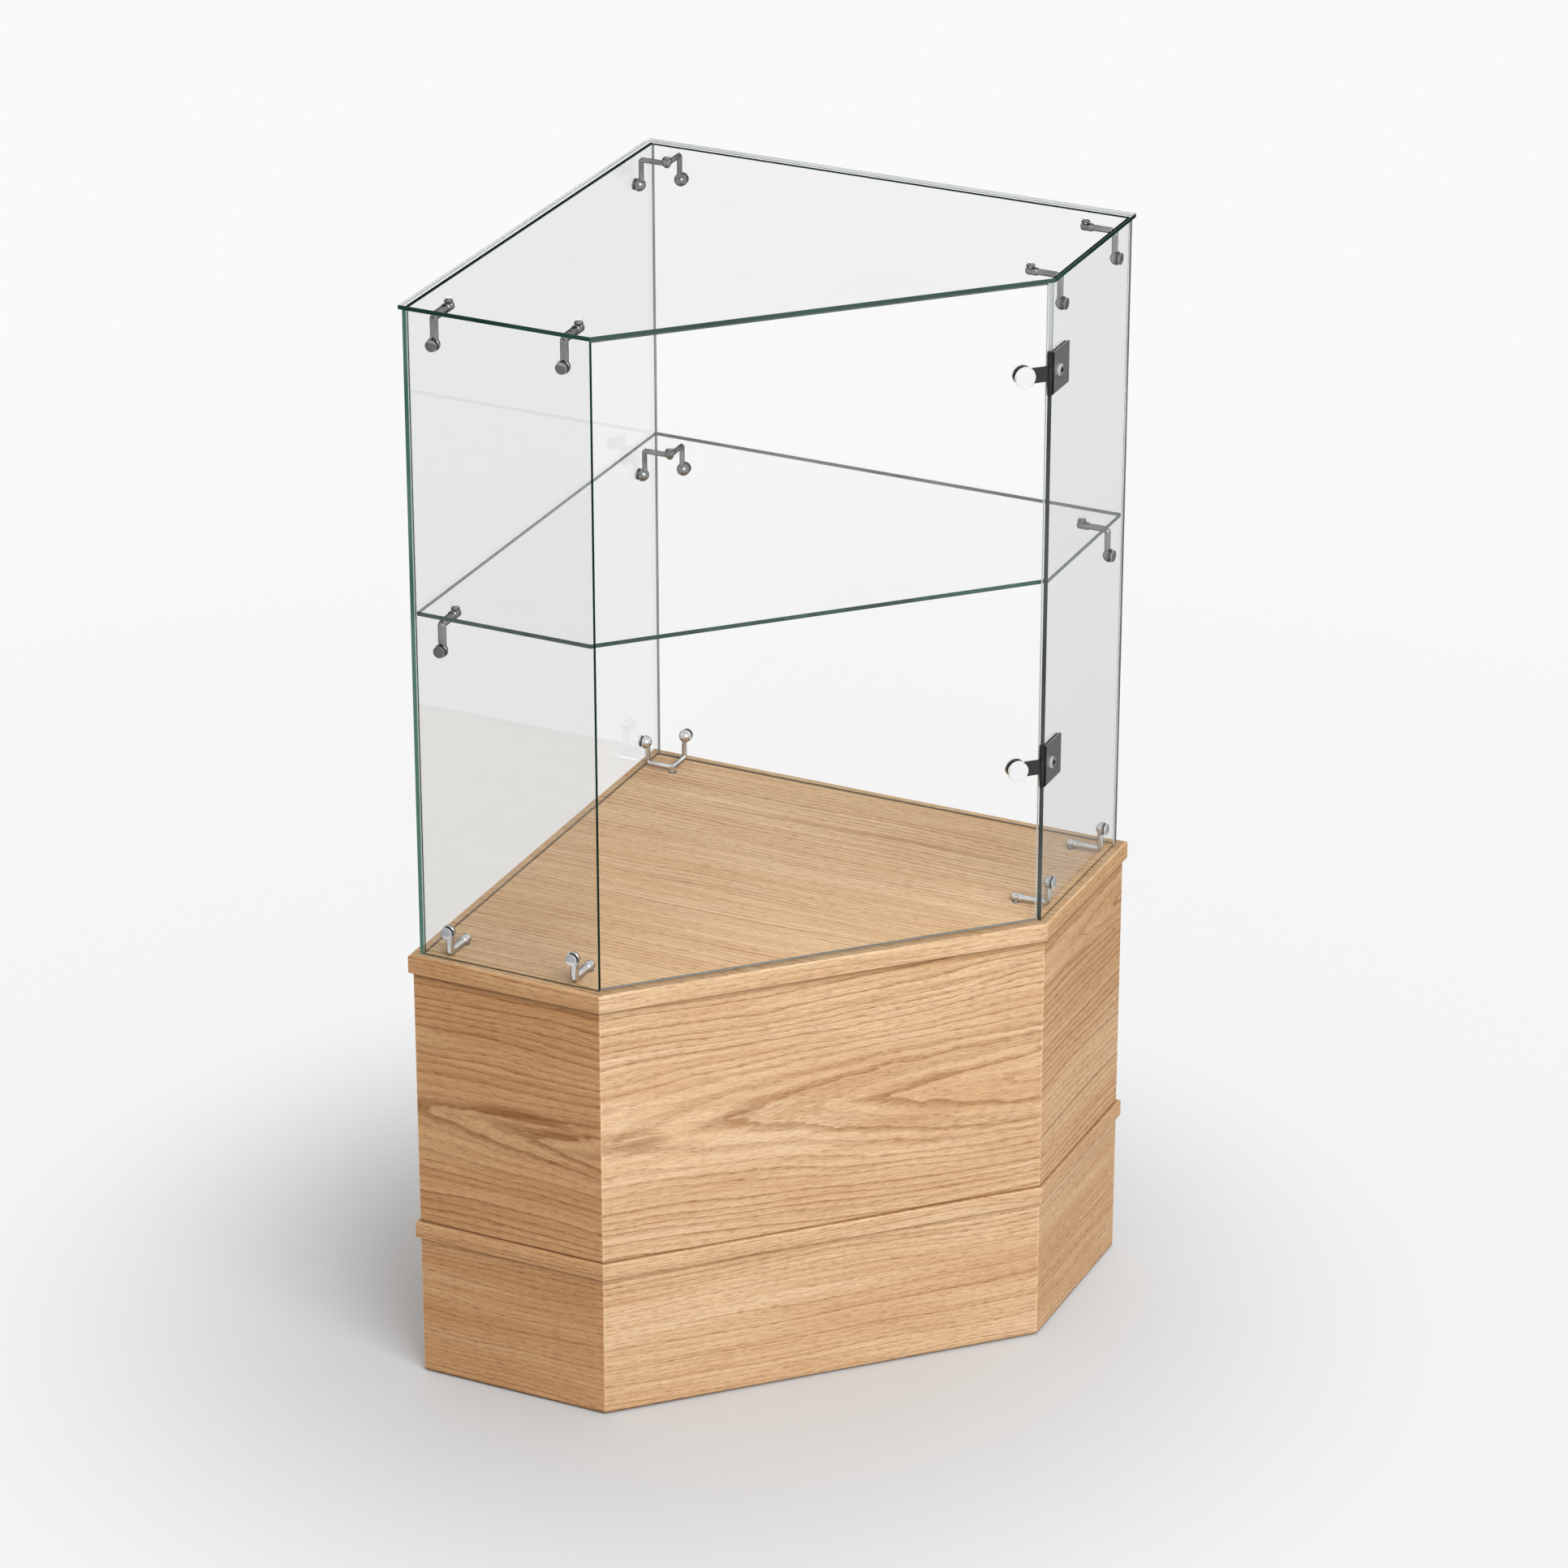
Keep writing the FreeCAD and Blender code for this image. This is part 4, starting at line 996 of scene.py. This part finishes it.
def screw_set(name, screws, node):
    """Screws as one piece, the ones near the wood painted paler, as a reflection of the slab."""
    def build(bm):
        for mesh, near_wood_painted_pale in screws:
            bm.from_mesh(mesh)
            bm.faces.ensure_lookup_table()
            for face in bm.faces[-len(mesh.polygons):]:
                face.material_index = int(near_wood_painted_pale)

    return soften(piece(name, build, [screw_chrome, pale_painted_screw_chrome], "case", node))


screw_set("pane_screws", wall_screws, "wall_screws")
screw_set("slab_screws", slab_screws, "base_screws")
print(len(wall_screws), "screws through the panes and", len(slab_screws), "into the slab")

# %% [markdown]
# ## Floor, light and camera
#
# The photograph is a product shot on a pale floor without a horizon. One big softbox, high to the right of the camera,
# gives the front panel its light, leaves the left side in shade and lays a soft shadow behind it. A dim sky fills the
# shadows. The floor is a plain pale disc that keeps the shadow and fades to white away from the case. Rays that come
# straight from the camera, or by way of metal and glass, see a white surrounding, and rays that light the wood see only
# the dim sky, so the white background adds no light to the object.

# %% Floor
WHITE = 0.955
SEEN = ("Is Camera Ray", "Is Glossy Ray", "Is Transmission Ray")


def seen_share(kit):
    """1 for rays that show a thing to the camera and haven't met a matt surface, 0 for rays that light one."""
    path = kit.add("LightPath").outputs
    share = path[SEEN[0]]
    for kind in SEEN[1:]:
        share = kit.math("MAXIMUM", share, path[kind])
    return kit.math("MULTIPLY", share, kit.math("LESS_THAN", path["Diffuse Depth"], 0.5))


def floor_finish():
    """Pale paper that fades to white away from the case."""
    f = Finish("floor_paper")
    mottle = f.noise(f.stretch(f.place, (30.0, 30.0, 30.0)), detail=4.0)
    f.set(Base_Color=f.mix(mottle, (0.760, 0.785, 0.810), (0.780, 0.805, 0.830)), Roughness=0.9,
          Specular_IOR_Level=0.1)
    from_middle = f.stretch(f.place, (1, 1, 1), (0.07, 0.05, 0.0))
    far = f.add("VectorMath", from_middle, operation="LENGTH").outputs["Value"]
    fade = f.math("MULTIPLY", f.fit(far, 0.25, 0.95), seen_share(f))
    glow = f.add("Emission", f.fit(far, 0.6, 3.5, 0.91, WHITE)).outputs[0]
    lit = f.add("MixShader", fade, f.shader.outputs["BSDF"], glow).outputs[0]
    f.plug(lit, f.output.inputs["Surface"])
    return f.material


floor_shape = bmesh.new()
bmesh.ops.create_circle(floor_shape, cap_ends=True, segments=96, radius=30.0)
floor = shown_mesh("floor", floor_shape, [floor_finish()])
print("floor", round(floor.dimensions.x), "wide")

# %% [markdown]
# Chrome in a white room looks like paper, because it has nothing dark to mirror. Photographers stand black cloth,
# called flags, around such things. Here a bent wall of dark cloth stands behind and beside the case, and only mirrors
# see it.

# %% Flags
FLAG_DISTANCE = 1.10
FLAG_HEIGHT = 1.20
FLAG_ENDS = (92, 368)      # degrees, counted from -Y towards +X
FLAG_STEPS = 41
flag_shape = bmesh.new()
foot, head = [], []
for k in range(FLAG_STEPS + 1):
    turn = math.radians(FLAG_ENDS[0] + (FLAG_ENDS[1] - FLAG_ENDS[0]) * k / FLAG_STEPS)
    place = Vector((math.sin(turn), -math.cos(turn), 0)) * FLAG_DISTANCE
    foot.append(flag_shape.verts.new(place))
    head.append(flag_shape.verts.new(place + UP * FLAG_HEIGHT))
for k in range(FLAG_STEPS):
    flag_shape.faces.new((foot[k], foot[k + 1], head[k + 1], head[k]))
cloth = satin("black_cloth", (0.010, 0.010, 0.010), (0.020, 0.020, 0.020), (900.0, 900.0, 900.0), 0.0, 0.8, 0.9)
flags = shown_mesh("flags", flag_shape, [cloth])
for ray in ("camera", "diffuse", "transmission", "shadow", "volume_scatter"):
    setattr(flags, "visible_" + ray, False)
print("flags from", FLAG_ENDS[0], "to", FLAG_ENDS[1], "degrees")

# %% Sky and softbox
SKY = 0.53
CASE_MIDDLE = Vector((0, 0, 0.5))
scene = bpy.context.scene
scene.view_settings.view_transform = "Standard"
world = bpy.data.worlds.new("studio")
world.use_nodes = True
scene.world = world
sky = Nodes(world.node_tree)
levels = [sky.add("Background", (level, level, level, 1)).outputs[0] for level in (SKY, WHITE)]
sky.add("OutputWorld", sky.add("MixShader", seen_share(sky), *levels).outputs[0])


def softbox(name, azimuth, elevation, distance, size, power):
    """Square lamp aimed at the middle of the case. Azimuth 0 stands at -Y and 90 at +X."""
    a, e = math.radians(azimuth), math.radians(elevation)
    back = Vector((math.sin(a) * math.cos(e), -math.cos(a) * math.cos(e), math.sin(e)))
    lamp = bpy.data.lights.new(name, "AREA")
    lamp.shape = "SQUARE"
    lamp.size = size
    lamp.energy = power
    shown = bpy.data.objects.new(name, lamp)
    shown.location = CASE_MIDDLE + back * distance
    shown.rotation_euler = (-back).to_track_quat("-Z", "Y").to_euler()
    shown.visible_glossy = False
    scene.collection.objects.link(shown)
    return shown


softbox("key", azimuth=50, elevation=36, distance=4.0, size=2.6, power=95)

# %% Camera
CAMERA_PLACE = Vector((2.5904, -5.4932, 3.5085))
CAMERA_WAY = Vector((-0.38501, 0.82009, -0.42335))
camera_data = bpy.data.cameras.new("camera")
camera_data.lens = 138.1
camera_data.sensor_width = 36.0
camera = bpy.data.objects.new("camera", camera_data)
camera.location = CAMERA_PLACE
camera.rotation_euler = CAMERA_WAY.to_track_quat("-Z", "Y").to_euler()
scene.collection.objects.link(camera)
scene.camera = camera
print("camera", round(math.degrees(camera_data.angle), 2), "degrees wide")
